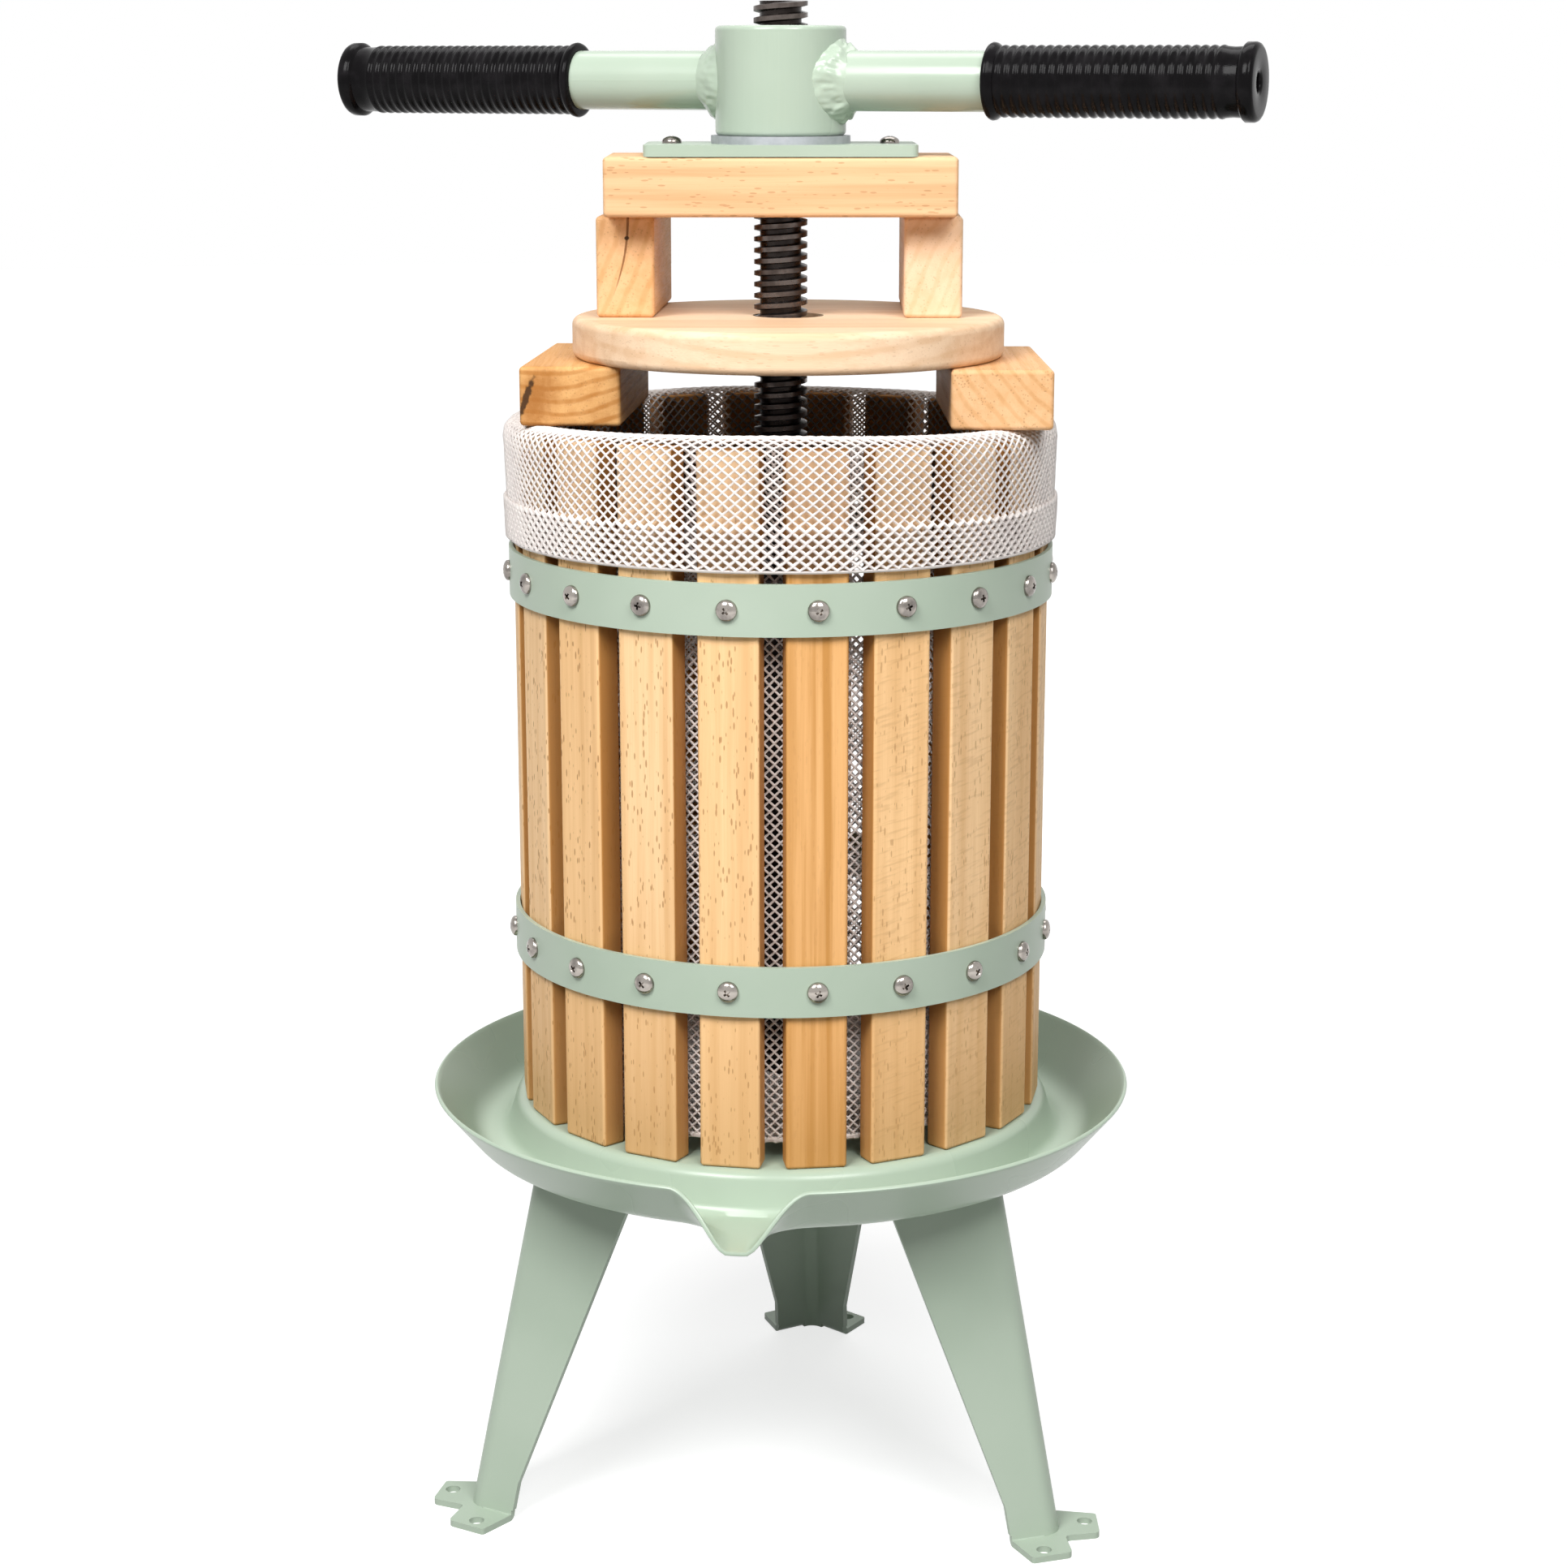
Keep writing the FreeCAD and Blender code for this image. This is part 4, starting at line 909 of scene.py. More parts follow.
@dataclass
class RecessedScrew:
    """A pan head screw with a cross recess, in millimetres."""

    head: float = 4.7
    height: float = 3.0
    skirt: float = 0.7
    wing: float = 2.75
    slot_width: float = 1.15
    recess: float = 1.7
    sunk: float = 0.3
    blade: float = 4.0
    blade_taper: tuple[float, float, float] = (0.35, 0.7, 1.0)
    facets: int = 28

    def form(self) -> bpy.types.Mesh:
        """Returns one head, standing on Z = 0."""
        rise = self.height - self.skirt
        arc = [
            (self.head * math.cos(math.radians(a)), self.skirt + rise * math.sin(math.radians(a)))
            for a in range(0, 90, 15)
        ]
        profile = [(0.0, -self.sunk), (self.head, -self.sunk), *arc, (0.0, self.height)]
        head = as_mesh(spun(profile, self.facets, False))
        for quarter in (0.0, 90.0):
            head = self._cut(head, quarter)
        return head

    def _cut(self, head: bpy.types.Mesh, quarter: float) -> bpy.types.Mesh:
        """Cuts one tapered slot of the cross.

        Args:
            head: The head so far.
            quarter: The slot's direction in degrees.

        Returns:
            The cut head.
        """
        blade = bmesh.new()
        bmesh.ops.create_cube(blade, size=1.0)
        size = (2.0 * self.wing * MM, self.slot_width * MM, self.blade * MM)
        bmesh.ops.scale(blade, verts=blade.verts, vec=size)
        low = [v for v in blade.verts if v.co.z < 0.0]
        bmesh.ops.scale(blade, verts=low, vec=self.blade_taper)
        middle = self.height - self.recess + self.blade / 2.0
        bmesh.ops.translate(blade, verts=blade.verts, vec=(0.0, 0.0, middle * MM))
        turn = Matrix.Rotation(math.radians(quarter), 3, "Z")
        bmesh.ops.rotate(blade, verts=blade.verts, cent=ORIGIN, matrix=turn)
        cutter = bpy.data.objects.new("blade", as_mesh(blade))
        bpy.context.scene.collection.objects.link(cutter)
        cut = applied(head, "BOOLEAN", object=cutter, operation="DIFFERENCE", solver="EXACT")
        bpy.data.objects.remove(cutter)
        return cut

    def row(self, places: list[Matrix]) -> bmesh.types.BMesh:
        """Returns a head at each of the places.

        Args:
            places: Where each head goes, in metres.

        Returns:
            All the heads as one form.
        """
        head = self.form()
        form = bmesh.new()
        for place in places:
            copy = head.copy()
            copy.transform(place)
            form.from_mesh(copy)
            bpy.data.meshes.remove(copy)
        bpy.data.meshes.remove(head)
        return form


@dataclass
class NetBag:
    """The knitted press bag, hung in the basket and folded over its staves, in millimetres."""

    inner: float = 107.9
    fold_inner: float = 109.2
    outer: float = 122.7
    bulge: float = 124.1
    floor: float = 198.6
    rim: float = 507.6
    hem: float = 454.6
    hem_rows: int = 4
    eye: float = 14.5
    cell_wide: float = 4.95
    cell_high: float = 4.65
    gauge: float = 113.4
    strand: float = 1.5
    hem_strand: float = 2.0
    hem_stand: float = 1.3
    fold_rise: float = 8.0
    fold_shift: float = 0.4
    fold_roundness: float = 0.75
    fold_turns: tuple[int, ...] = (0, 26, 52, 78, 104, 130, 156, 180)
    joins: tuple[float, float] = (271.5, 438.8)
    floor_drop: float = 0.4
    seam: float = 0.9
    seam_inset: float = 0.5
    seam_rise: float = 0.8
    seam_facets: int = 240
    front_lift: float = 3.4
    rim_zone: tuple[float, float] = (440.0, 500.0)
    cuff_from: float = 116.0
    sway: float = 0.35
    jog: float = 0.22
    swell: float = 0.6
    stave_print: float = 0.18
    drift: float = 0.45
    rim_sway: float = 0.5
    floor_wave: float = 0.6
    swell_range: tuple[float, float] = (0.55, 0.45)
    sway_scale: tuple[float, float, float] = (22.0, 22.0, 14.0)
    drift_scale: float = 70.0
    jog_scale: float = 160.0
    wave_scale: float = 30.0
    seed: int = 11

    def build(self, material: bpy.types.Material) -> None:
        """Makes the bag's wall, floor, turned-over cuff and doubled hem."""
        low, high = self.joins
        wall = self._line((self.inner, self.floor), (self.inner, low))
        self._net("bag_wall_low", self._lattice(wall), material, ("press_bag",))
        wall = self._line((self.inner, low), (self.inner, high))
        self._net("bag_wall_high", self._lattice(wall), material)
        wall = self._line((self.inner, high), (self.inner, self.rim - self.fold_rise - self.cell_high))
        self._net("bag_cuff", self._lattice(wall + self._cuff()), material)
        hem = [(radius + self.hem_stand, height) for radius, height in self._cuff()[-self.hem_rows - 1:]]
        doubled = self._lattice(hem)
        self._open_top(doubled)
        self._net("bag_hem", doubled, material, strand=self.hem_strand)
        self._net("bag_floor", self._floor_lattice(), material)
        finished("bag_floor_seam", self._floor_seam(), material, Body.BASKET)

    def _line(self, low: tuple[float, float], high: tuple[float, float]) -> list[tuple[float, float]]:
        """Returns a straight run divided into cells.

        Args:
            low: Radius and height of its first end.
            high: Radius and height of its other end.

        Returns:
            The radius and height of each division.
        """
        length = math.dist(low, high)
        count = max(1, round(length / self.cell_high))
        shares = [step / count for step in range(count + 1)]
        return [(low[0] + (high[0] - low[0]) * s, low[1] + (high[1] - low[1]) * s) for s in shares]

    def _cuff(self) -> list[tuple[float, float]]:
        """Returns the cuff's profile, from inside the rim over the staves and down to the hem."""
        centre = (self.fold_inner + self.bulge) / 2.0 - self.fold_shift
        half = (self.bulge - self.inner) / 2.0
        base = self.rim - self.fold_rise
        over = []
        for angle in self.fold_turns:
            turn = math.radians(angle)
            rise = self.fold_rise * math.sin(turn) ** self.fold_roundness
            over.append((centre - half * math.cos(turn), base + rise))
        down = self._line((self.bulge, base - self.cell_high), (self.outer, self.hem))
        return over + down

    def _lattice(self, profile: list[tuple[float, float]]) -> bmesh.types.BMesh:
        """Lays diamond meshes round a profile.

        Args:
            profile: Radius and height of each row.

        Returns:
            A surface of diamond faces.
        """
        form = spun(profile, round(FULL_TURN * self.gauge / self.cell_wide), False)
        self._to_diamonds(form)
        self._settle(form)
        return form

    def _to_diamonds(self, form: bmesh.types.BMesh) -> None:
        """Turns a form's square cells into diamond ones."""
        straight = [edge for edge in form.edges if len(edge.link_faces) == 2]
        bmesh.ops.poke(form, faces=form.faces)
        bmesh.ops.dissolve_edges(form, edges=straight, use_verts=False)

    def _open_top(self, form: bmesh.types.BMesh) -> None:
        """Takes off the half meshes along a lattice's top."""
        heights = [vert.co.z for vert in form.verts]
        middle = (min(heights) + max(heights)) / 2.0
        halves = [face for face in form.faces if len(face.verts) == 3]
        upper = [face for face in halves if face.calc_center_median().z > middle]
        bmesh.ops.delete(form, geom=upper, context="FACES")

    def _settle(self, form: bmesh.types.BMesh) -> None:
        """Lets the net hang a little unevenly and rise at the front of the rim."""
        low, high = self.rim_zone
        for vert in form.verts:
            x, y, z = vert.co
            reach = math.hypot(x, y)
            azimuth = math.atan2(y, x)
            near_rim = share_between(z / MM, low, high)
            outside = 1.0 if reach > self.cuff_from * MM else 0.0
            stave = math.cos(STAVES * (azimuth - math.radians(FIRST_STAVE)))
            sway = self._loose(x, y, z, self.sway_scale)
            jog = self._loose(x, y, z, (self.jog_scale,) * 3)
            shift = self._loose(x, z, y, (self.drift_scale,) * 3)
            base, vary = self.swell_range
            swell = outside * near_rim * (base + vary * sway)
            radial = sway * self.sway + jog * self.jog + swell * self.swell + stave * self.stave_print
            lift = self.front_lift * max(0.0, -math.sin(azimuth)) ** 4 * near_rim
            out = Vector((math.cos(azimuth), math.sin(azimuth), 0.0))
            aside = Vector((-math.sin(azimuth), math.cos(azimuth), 0.0))
            vert.co += (out * radial + aside * shift * self.drift) * MM
            vert.co.z += (lift + sway * self.rim_sway * near_rim) * MM

    def _loose(self, x: float, y: float, z: float, scale: tuple[float, float, float]) -> float:
        """Returns the bag's noise at a point, scaled along each axis."""
        return noise.noise(Vector((x * scale[0], y * scale[1], z * scale[2] + self.seed)))

    def _floor_lattice(self) -> bmesh.types.BMesh:
        """Returns the bag's round floor with the hole for the screw."""
        across = 2.0 * (self.inner + self.cell_wide)
        columns = round(across / self.cell_wide)
        rows = round(across / self.cell_high)
        form = bmesh.new()
        bmesh.ops.create_grid(form, x_segments=columns, y_segments=rows, size=across * MM / 2.0)
        self._to_diamonds(form)
        outside = [
            face
            for face in form.faces
            if not self.eye * MM < face.calc_center_median().xy.length < (self.inner - 1.0) * MM
        ]
        bmesh.ops.delete(form, geom=outside, context="FACES")
        for vert in form.verts:
            reach = min(vert.co.xy.length, self.inner * MM)
            vert.co.xy = vert.co.xy.normalized() * reach
            wave = self._loose(vert.co.x, vert.co.y, 0.0, (self.wave_scale,) * 3)
            vert.co.z = (self.floor - self.floor_drop + self.floor_wave * wave) * MM
        return form

    def _net(
        self,
        name: str,
        form: bmesh.types.BMesh,
        material: bpy.types.Material,
        replaced: tuple[str, ...] = (),
        strand: float | None = None,
    ) -> None:
        """Knits a lattice into strands and makes it a piece.

        Args:
            name: The piece's name.
            form: Its lattice.
            material: The yarn.
            replaced: The nodes that it stands for.
            strand: The strands' thickness, where it isn't the bag's own.
        """
        bmesh.ops.recalc_face_normals(form, faces=form.faces)
        knitted = applied(
            as_mesh(form),
            "WIREFRAME",
            thickness=(strand or self.strand) * MM,
            use_even_offset=False,
            use_relative_offset=False,
            use_boundary=True,
            use_replace=True,
            offset=0.0,
        )
        finished(name, as_form(knitted), material, Body.BASKET, replaced, crease=180.0)

    def _floor_seam(self) -> bmesh.types.BMesh:
        """Returns the sewn round edge where the floor meets the wall."""
        radius = self.inner - self.seam_inset
        height = self.floor + self.seam_rise
        corners = [math.radians(a) for a in range(0, 360, 45)]
        profile = [(radius + self.seam * math.cos(a), height + self.seam * math.sin(a)) for a in corners]
        return spun(profile, self.seam_facets, True)


@dataclass
class Basket:
    """Staves, hoops, screws, net bag and the two lower blocks."""

    hoop_radius: float = 124.0
    screw_heights: tuple[float, float] = (438.75, 271.55)
    stave_pale: tuple[Colour, Colour] = ((0.95, 0.675, 0.40), (0.93, 0.60, 0.30))
    stave_deep: Colour = (0.64, 0.35, 0.135)
    stave_seed: int = 400
    amber_stave: float = 283.8
    amber_pale: Colour = (0.81, 0.447, 0.18)
    amber_deep: Colour = (0.55, 0.26, 0.07)
    rough_staves: tuple[float, float] = (290.0, 360.0)
    bag: NetBag = field(default_factory=NetBag)
    head: RecessedScrew = field(default_factory=RecessedScrew)

    def build(self) -> None:
        """Makes and dresses the basket."""
        for number in range(1, STAVES + 1):
            dressed(f"slat_{number:02d}", self._stave_wood(number))
        hoop = Enamel("enamel_hoops", shine=0.34).material()
        dressed("hoop_upper", hoop)
        dressed("hoop_lower", hoop)
        nickel = Steel("screw_nickel", (0.40, 0.365, 0.33), (0.20, 0.18, 0.165), 0.10, 0.24).material()
        for name, height in zip(("hoop_screws_upper", "hoop_screws_lower"), self.screw_heights):
            form = self.head.row(self._screw_places(height))
            finished(f"{name}_cross", form, nickel, Body.BASKET, (name,), crease=30.0)
        self.bag.build(Thread("bag_yarn").material())
        lean = (0.0, -20.0, 0.0)
        knot = Mark((-104.6, -64.4, 520.5), (1.9, 9.0, 11.5), lean, ragged=0.5, strength=0.95)
        halo = Mark(
            (-100.0, -64.0, 520.0), (13.0, 16.0, 21.0), lean,
            colour=(0.36, 0.135, 0.028), ragged=0.25, strength=0.85, core=0.05,
        )
        left = Beech(
            "beech_block_low_left", Grain.ALONG_Y, 61, (0.75, 0.42, 0.165), (0.50, 0.215, 0.055),
            turn=TOP_TURN, flecks=0.3, ring_gap=5.5, pith=(-0.10, -0.60), ring_depth=0.6, marks=(halo, knot),
        )
        right = Beech(
            "beech_block_low_right", Grain.ALONG_Y, 62, (0.83, 0.51, 0.275), (0.64, 0.34, 0.14),
            turn=TOP_TURN, flecks=0.4, ring_gap=6.0, ring_depth=0.4, pith=(0.16, -0.58),
        )
        dressed("lower_block_left", left.material())
        dressed("lower_block_right", right.material())

    def _stave_wood(self, number: int) -> bpy.types.Material:
        """Returns the wood of one stave.

        Args:
            number: The stave's number.

        Returns:
            Its material.
        """
        dice = random.Random(self.stave_seed + number)
        azimuth = FIRST_STAVE + STAVE_STEP * (number - 1)
        warm = dice.uniform(0.0, 1.0)
        pale = tuple(a + (b - a) * warm for a, b in zip(*self.stave_pale))
        deep = self.stave_deep
        streaks = 0.18
        ring_depth = 0.16
        flecks = dice.uniform(0.6, 0.9)
        saw = 0.0
        if abs(azimuth - self.amber_stave) < 1.0:
            pale = self.amber_pale
            deep = self.amber_deep
            streaks = 0.8
            ring_depth = 0.42
            flecks = 0.08
        elif self.rough_staves[0] < azimuth < self.rough_staves[1]:
            saw = 0.20
            flecks = 0.45
        wood = Beech(
            f"beech_stave_{number:02d}",
            Grain.ALONG_Z,
            number,
            pale,
            deep,
            streaks=streaks,
            flecks=flecks,
            saw=saw,
            depth=dice.uniform(0.2, 0.4),
            pith=(dice.uniform(-0.3, 0.3), dice.uniform(-0.3, 0.3)),
            ring_gap=dice.uniform(6.0, 9.0),
            ring_depth=ring_depth,
            # painted shade on the side faces and the foot, and painted light under the cuff
            shaded_sides=True,
        )
        return wood.material()

    def _screw_places(self, height: float) -> list[Matrix]:
        """Returns where a hoop's screw heads go.

        Args:
            height: The row's height.

        Returns:
            One matrix for each stave.
        """
        dice = random.Random(int(height))
        places = []
        quarter = Matrix.Rotation(math.radians(90.0), 4, "Y")
        for number in range(STAVES):
            turn = Matrix.Rotation(math.radians(FIRST_STAVE + number * STAVE_STEP), 4, "Z")
            seat = turn @ Vector((self.hoop_radius * MM, 0.0, height * MM))
            spin = Matrix.Rotation(dice.uniform(0.0, FULL_TURN), 4, "Z")
            places.append(Matrix.Translation(seat) @ turn @ quarter @ spin)
        return places


# --- pressing stack and crosshead ------------------------------------------------------------


@dataclass
class PressingStack:
    """The round pressing board and the two upper blocks."""

    def build(self) -> None:
        """Dresses the stack."""
        board = Beech(
            "beech_disc", Grain.ALONG_X, 71, (0.89, 0.665, 0.46), (0.72, 0.46, 0.265),
            turn=TOP_TURN, flecks=0.15, streaks=0.3, ring_gap=9.0, pith=(0.35, 0.10), ring_depth=0.3,
        )
        split = Mark(
            (-65.65, -22.0, 596.0), (0.7, 12.0, 40.0),
            bend=5.8, colour=(0.22, 0.09, 0.03), ragged=0.15, strength=0.9,
        )
        pin_knot = Mark((-66.2, -22.0, 587.1), (1.3, 6.0, 1.1), ragged=0.15)
        left = Beech(
            "beech_block_high_left", Grain.ALONG_Y, 72, (0.83, 0.51, 0.27), (0.64, 0.34, 0.14),
            turn=TOP_TURN, flecks=0.3, ring_gap=7.0, ring_depth=0.4, pith=(-0.20, -0.62),
            marks=(split, pin_knot),
        )
        right = Beech(
            "beech_block_high_right", Grain.ALONG_Y, 73, (0.88, 0.63, 0.435), (0.76, 0.49, 0.285),
            turn=TOP_TURN, flecks=0.2, ring_gap=6.0, ring_depth=0.36, pith=(0.22, -0.50),
        )
        dressed("pressing_disc", board.material())
        dressed("upper_block_left", left.material())
        dressed("upper_block_right", right.material())


@dataclass
class Crosshead:
    """The wooden cross beam with its steel plate and screws."""

    plate_top: float = 627.9
    screw_reach: float = 48.4
    head: RecessedScrew = field(default_factory=lambda: RecessedScrew(head=4.4, height=3.2))

    def build(self) -> None:
        """Makes and dresses the crosshead."""
        beam = Beech(
            "beech_beam", Grain.ALONG_X, 81, (0.85, 0.555, 0.315), (0.68, 0.37, 0.18),
            turn=TOP_TURN, flecks=0.42, streaks=0.5, ring_gap=7.0, pith=(-0.70, 0.12),
        )
        dressed("cross_beam", beam.material())
        dressed("head_plate", Enamel("enamel_plate", shine=0.34).material())
        washer = Steel("washer_zinc", (0.44, 0.46, 0.48), (0.36, 0.38, 0.40), 0.38, 0.5, 0.6)
        dressed("thrust_washer", washer.material())
        dark = Steel("plate_screw_nickel", (0.30, 0.275, 0.25), (0.15, 0.135, 0.12), 0.12, 0.26).material()
        places = []
        turn = Matrix.Rotation(math.radians(TOP_TURN), 4, "Z")
        for side, spin in ((-1.0, 0.4), (1.0, 1.1)):
            seat = turn @ Vector((side * self.screw_reach * MM, 0.0, self.plate_top * MM))
            places.append(Matrix.Translation(seat) @ Matrix.Rotation(spin, 4, "Z"))
        form = self.head.row(places)
        replaced = ("plate_screws",)
        finished("plate_screws_cross", form, dark, Body.CROSSHEAD, replaced, crease=30.0)


# --- handle ----------------------------------------------------------------------------------


@dataclass
class Grip:
    """A ribbed rubber grip, in millimetres along the handle's tube."""

    start: float = 98.0
    end: float = 216.5
    ridge: float = 15.35
    groove: float = 14.55
    collar: float = 16.6
    bore: float = 13.06
    hole: float = 4.0
    pitch: float = 4.0
    first_rib: float = 104.6
    ribs: int = 25
    rib_roundness: float = 0.8
    facets: int = 56
    samples: int = 6

    # how far each corner lies inside the collar, outside the groove or outside the hole, and from its end
    near_lip: Profile = ((1.6, 0.0), (0.5, 0.4), (0.0, 1.4), (0.25, 2.6), (1.0, 3.6))
    near_neck: Profile = ((0.1, 5.0),)
    far_neck: Profile = ((0.0, 11.0), (0.2, 7.2))
    far_lip: Profile = ((0.7, 6.4), (0.0, 5.6), (0.0, 2.0), (0.5, 0.9), (1.5, 0.2), (2.6, 0.0))
    mouth: Profile = ((2.0, 0.5), (0.4, 0.8), (0.0, 1.4), (0.0, 2.9))

    def form(self) -> bmesh.types.BMesh:
        """Returns the grip about Z, with its length along Z."""
        near = [(self.bore, self.start)]
        near += [(self.collar - inset, self.start + along) for inset, along in self.near_lip]
        near += [(self.groove + gap, self.start + along) for gap, along in self.near_neck]
        ribs = []
        for step in range(self.ribs * self.samples):
            wave = 0.5 - 0.5 * math.cos(FULL_TURN * step / self.samples)
            height = self.first_rib - self.pitch / 2.0 + self.pitch * step / self.samples
            ribs.append((self.groove + (self.ridge - self.groove) * wave ** self.rib_roundness, height))
        far = [(self.groove + gap, self.end - along) for gap, along in self.far_neck]
        far += [(self.collar - inset, self.end - along) for inset, along in self.far_lip]
        far += [(self.hole + gap, self.end - along) for gap, along in self.mouth]
        far.append((self.bore, far[-1][1]))
        return spun(near + ribs + far, self.facets, True)


@dataclass
class Weld:
    """A lumpy weld between the hub and a tube, in millimetres along the tube."""

    hub: float = 29.0
    tube: float = 13.0
    root: float = 18.0
    reach: float = 35.0
    length: float = 10.0
    sunk: float = 1.5
    behind: float = 2.0
    bite: float = 0.4
    lap: float = 0.5
    flesh: float = 0.3
    lumps: tuple[float, float] = (2.0, 1.5)
    lump_height: float = 1.7
    grit: tuple[float, float] = (7.0, 4.0)
    grit_height: float = 1.1
    beads: float = 9.0
    bead_wander: float = 3.0
    bead_slant: float = 2.2
    bead_height: float = 0.9
    belly_lead: float = 0.08
    tip_wander: float = 1.8
    facets: int = 144
    rings: int = 12
    seed: int = 3
    heavy: float = 1.0

    def form(self) -> bmesh.types.BMesh:
        """Returns the weld about Z, with the tube's length along Z."""
        shares = [step / self.rings for step in range(self.rings + 1)]
        profile = [(self.root + (self.tube - self.root) * share, share * self.length) for share in shares]
        inner = self.tube - self.sunk
        form = spun([(inner, -self.behind), *profile, (inner, self.length + self.lap)], self.facets, True)
        for vert in form.verts:
            x, y, z = vert.co / MM
            share = share_between(z, 0.0, self.length)
            around = math.atan2(y, x)
            lump = self._roughness(around, self.lumps[0], share * self.lumps[1])
            grit = self._roughness(around, self.grit[0], share * self.grit[1])
            on_hub = z <= -1.0
            ripple = abs(math.sin(around * self.beads + self.bead_wander * lump + self.bead_slant * share))
            belly = 0.0 if on_hub else math.sin(math.pi * min(1.0, share + self.belly_lead))
            swell = self.flesh + self.lump_height * lump + self.bead_height * ripple * (1.0 - share)
            swell = self.heavy * belly * (swell + self.grit_height * grit)
            radius = math.hypot(x, y) + swell
            side = min(abs(radius * math.sin(around)), self.hub)
            seat = math.sqrt(self.hub ** 2 - side ** 2) - self.bite
            tip = self.reach + self.tip_wander * self.heavy * lump
            along = seat - self.behind if on_hub else seat + (tip - seat) * share
            vert.co = Vector((radius * math.cos(around), radius * math.sin(around), along)) * MM
        bmesh.ops.recalc_face_normals(form, faces=form.faces)
        return form

    def _roughness(self, around: float, fineness: float, climb: float) -> float:
        """Returns noise that closes on itself round the tube.

        Args:
            around: The angle round the tube.
            fineness: How many lumps go across it.
            climb: How far the noise has moved on along the tube.

        Returns:
            A value from -1 to 1.
        """
        place = Vector((math.cos(around) * fineness, math.sin(around) * fineness, climb + self.seed))
        return noise.noise(place)


@dataclass
class Handle:
    """The T-handle: hub, tubes, welds and grips."""

    azimuth: float = -16.0
    height: float = 655.0
    grip: Grip = field(default_factory=Grip)
    welds: dict[str, Weld] = field(
        default_factory=lambda: {"left": Weld(seed=3, heavy=0.6), "right": Weld(seed=8, heavy=1.1)}
    )

    def build(self) -> None:
        """Makes and dresses the handle."""
        hub = Enamel(
            "enamel_hub", shine=0.20, gloss=0.5, strokes=(700.0, 700.0, 12.0), stroke_relief=0.22 * MM
        ).material()
        tube = Enamel("enamel_tubes", shine=0.18, gloss=0.45).material()
        weld = Enamel("enamel_weld", shine=0.16, dusty=(0.46, 0.55, 0.44)).material()
        rubber = Rubber("grip_rubber").material()
        dressed("handle_hub", hub)
        for side, azimuth in (("left", self.azimuth + 180.0), ("right", self.azimuth)):
            dressed(f"handle_tube_{side}", tube)
            place = self._place(azimuth)
            grip = self.grip.form()
            bmesh.ops.transform(grip, matrix=place, verts=grip.verts)
            replaced = (f"grip_{side}",)
            finished(f"ribbed_grip_{side}", grip, rubber, Body.HANDLE, replaced, crease=50.0)
            bead = self.welds[side].form()
            bmesh.ops.transform(bead, matrix=place, verts=bead.verts)
            replaced = (f"weld_bead_{side}",)
            finished(f"weld_{side}", bead, weld, Body.HANDLE, replaced, crease=60.0)

    def _place(self, azimuth: float) -> Matrix:
        """Returns what lays a form's Z along the handle, with its Y sideways.

        Args:
            azimuth: The direction of the tube in degrees.

        Returns:
            The matrix, in metres.
        """
        lean = Matrix.Rotation(math.radians(90.0), 4, "Y")
        turn = Matrix.Rotation(math.radians(azimuth), 4, "Z")
        return Matrix.Translation((0.0, 0.0, self.height * MM)) @ turn @ lean


# --- studio ----------------------------------------------------------------------------------


@dataclass
class Softbox:
    """One soft rectangular lamp, in metres and watts."""

    name: str
    place: Place
    aim: Place
    size: tuple[float, float]
    power: float

    def hang(self) -> None:
        """Hangs the lamp and points it."""
        lamp = bpy.data.lights.new(self.name, "AREA")
        lamp.shape = "RECTANGLE"
        lamp.size, lamp.size_y = self.size
        lamp.energy = self.power
        item = bpy.data.objects.new(self.name, lamp)
        item.location = self.place
        way = Vector(self.aim) - Vector(self.place)
        item.rotation_euler = way.to_track_quat("-Z", "Y").to_euler()
        bpy.context.scene.collection.objects.link(item)


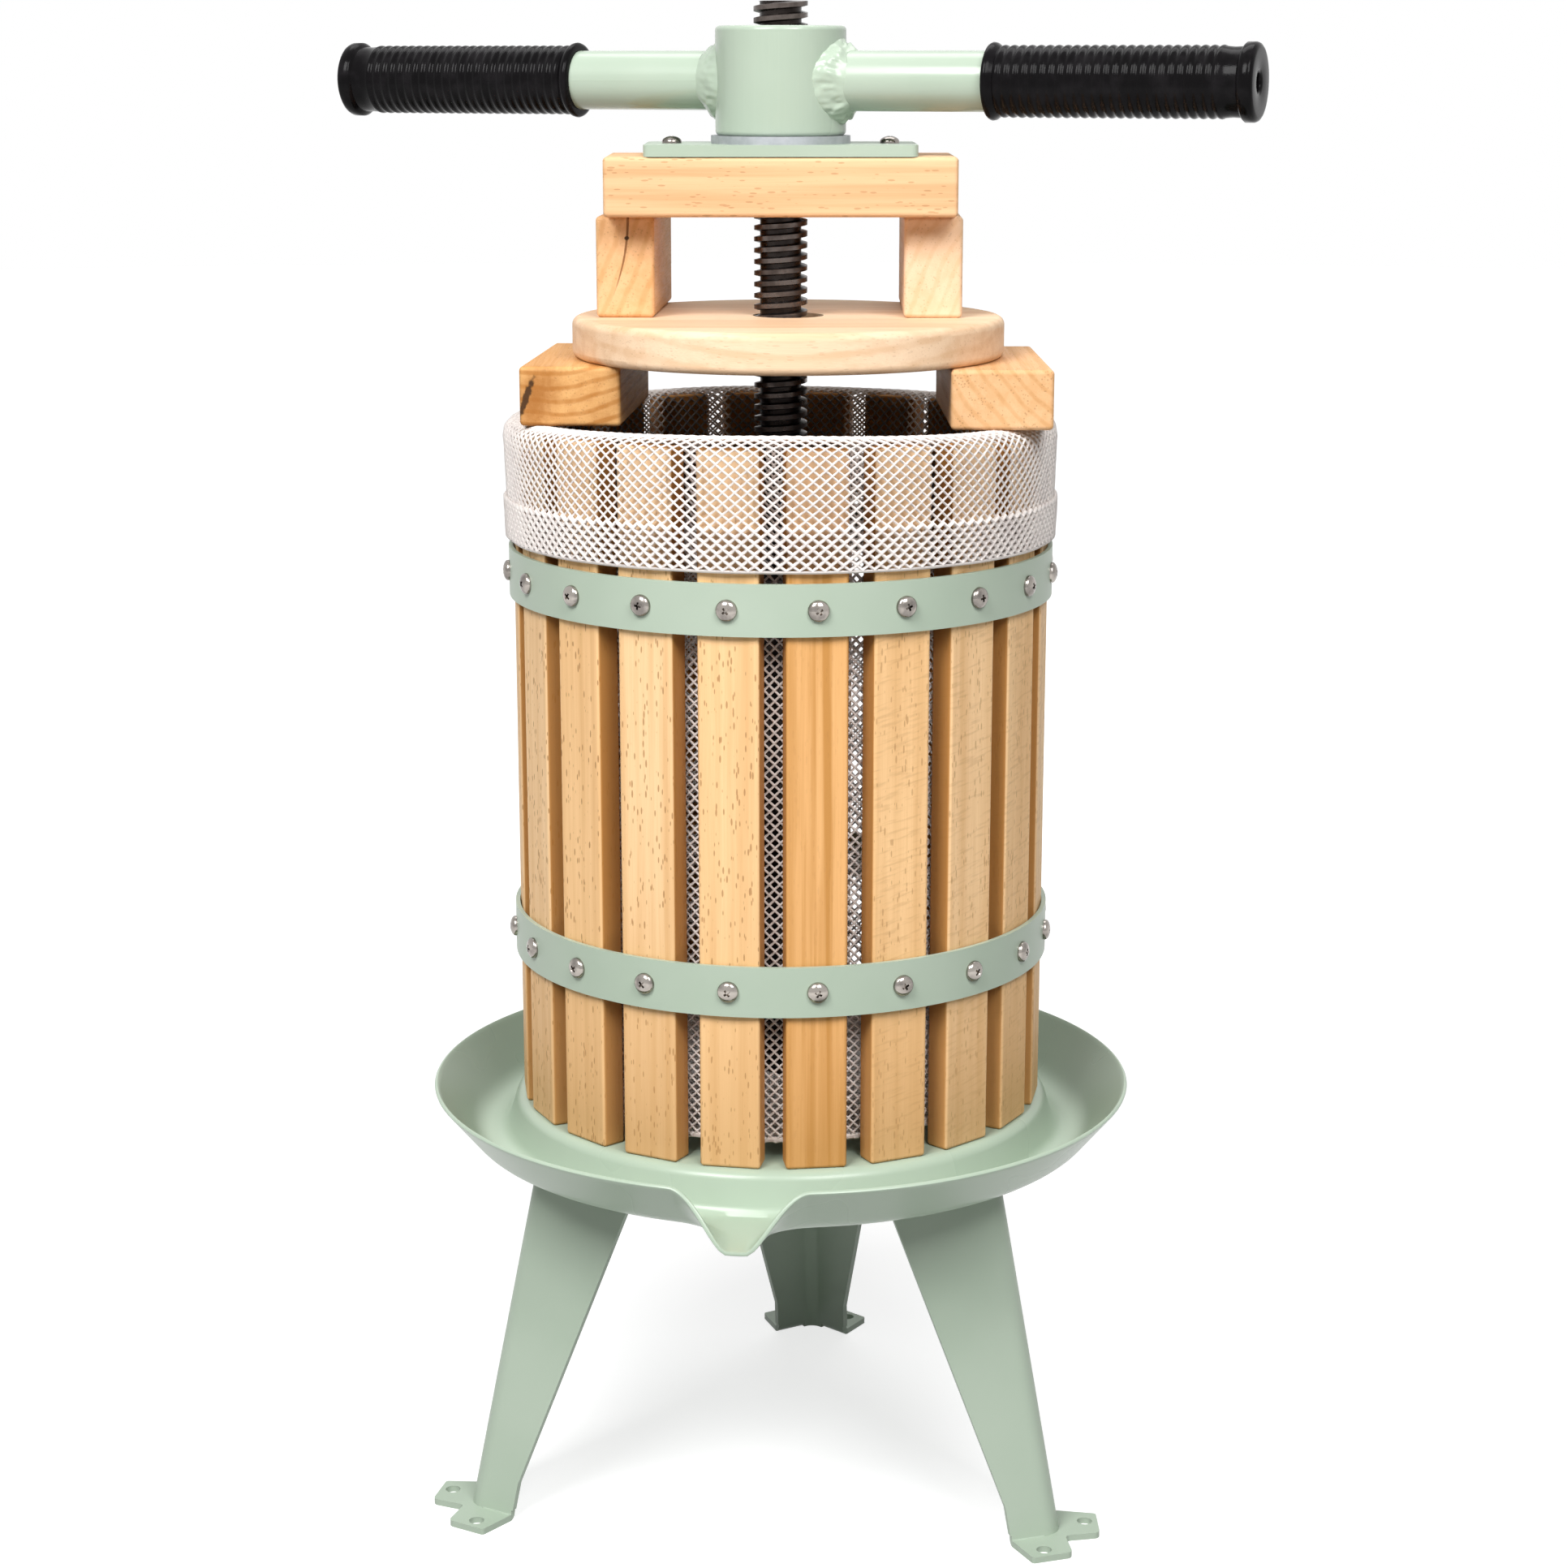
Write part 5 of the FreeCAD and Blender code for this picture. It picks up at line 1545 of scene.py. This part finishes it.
@dataclass
class Studio:
    """A white studio and the camera, in metres and degrees."""

    camera_place: Place = (0.1581, -1.4050, 0.66567)
    pitch: float = 13.148
    heading: float = 6.37
    lens: float = 71.56
    ambient: float = 0.08
    floor_size: float = 9.0
    floor_facets: int = 96
    floor_colour: float = 0.46
    floor_mottle: float = 0.02
    floor_lift_near: float = 0.74
    floor_lift_far: float = 1.0
    floor_reach: tuple[float, float] = (0.35, 1.6)
    lamps: tuple[Softbox, ...] = (
        Softbox("key", (-0.72, -1.55, 2.05), (0.0, 0.0, 0.40), (1.0, 1.0), 54.0),
        Softbox("fill", (0.90, -1.50, 1.95), (0.0, 0.0, 0.40), (1.0, 1.0), 36.0),
        Softbox("top", (0.0, 0.75, 2.1), (0.0, 0.0, 0.3), (1.4, 0.7), 9.0),
    )

    def build(self) -> None:
        """Lays the floor, lights the room and sets the camera."""
        self._world()
        self._floor()
        for lamp in self.lamps:
            lamp.hang()
        self._camera()
        bpy.context.scene.view_settings.view_transform = "Standard"

    def _seen_directly(self, wiring: Wiring) -> bpy.types.NodeSocket:
        """Returns 1 for what the camera, a reflection or glass shows, and 0 for light."""
        path = wiring.node("ShaderNodeLightPath")
        shown = wiring.maths("MAXIMUM", path.outputs["Is Camera Ray"], path.outputs["Is Glossy Ray"])
        return wiring.maths("MAXIMUM", shown, path.outputs["Is Transmission Ray"])

    def _world(self) -> None:
        """Makes the white surroundings."""
        world = bpy.data.worlds.new("studio")
        bpy.context.scene.world = world
        world.use_nodes = True
        wiring = Wiring(world.node_tree)
        strength = wiring.between(self._seen_directly(wiring), 0.0, 1.0, self.ambient, 1.0)
        sky = wiring.node("ShaderNodeBackground", {"Color": WHITE, "Strength": strength})
        output = wiring.node("ShaderNodeOutputWorld")
        wiring.tree.links.new(sky.outputs["Background"], output.inputs["Surface"])

    def _floor(self) -> None:
        """Lays the pale floor."""
        form = bmesh.new()
        bmesh.ops.create_circle(form, cap_ends=True, segments=self.floor_facets, radius=self.floor_size)
        mesh = as_mesh(form)
        floor = bpy.data.objects.new("studio_floor", mesh)
        bpy.context.scene.collection.objects.link(floor)
        recipe = Recipe("studio_floor")
        tones = [(tone,) * 3 for tone in (self.floor_colour, self.floor_colour + self.floor_mottle)]
        colour = recipe.mixed(recipe.grains(40.0), *tones)
        near, far = self.floor_reach
        lift = recipe.between(recipe.radius(), near, far, self.floor_lift_near, self.floor_lift_far)
        glow = recipe.maths("MULTIPLY", lift, self._seen_directly(recipe))
        levels = {"Emission_Color": WHITE, "Emission_Strength": glow}
        mesh.materials.append(recipe.finish(colour, Roughness=0.9, Specular_IOR_Level=0.1, **levels))

    def _camera(self) -> None:
        """Sets the camera in front of the press, looking slightly down."""
        eye = bpy.data.cameras.new("view")
        eye.lens = self.lens
        item = bpy.data.objects.new("view", eye)
        item.location = self.camera_place
        turn = (90.0 - self.pitch, 0.0, self.heading)
        item.rotation_euler = Euler(tuple(math.radians(angle) for angle in turn))
        bpy.context.scene.collection.objects.link(item)
        bpy.context.scene.camera = item


def main() -> None:
    """Builds the press and its studio."""
    logging.basicConfig(level=logging.INFO, format="%(name)s: %(message)s")
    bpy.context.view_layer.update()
    for part in (Stand(), Basket(), PressingStack(), Crosshead(), Handle(), Studio()):
        LOG.info("building %s", type(part).__name__)
        part.build()


if __name__ == "__main__":
    main()
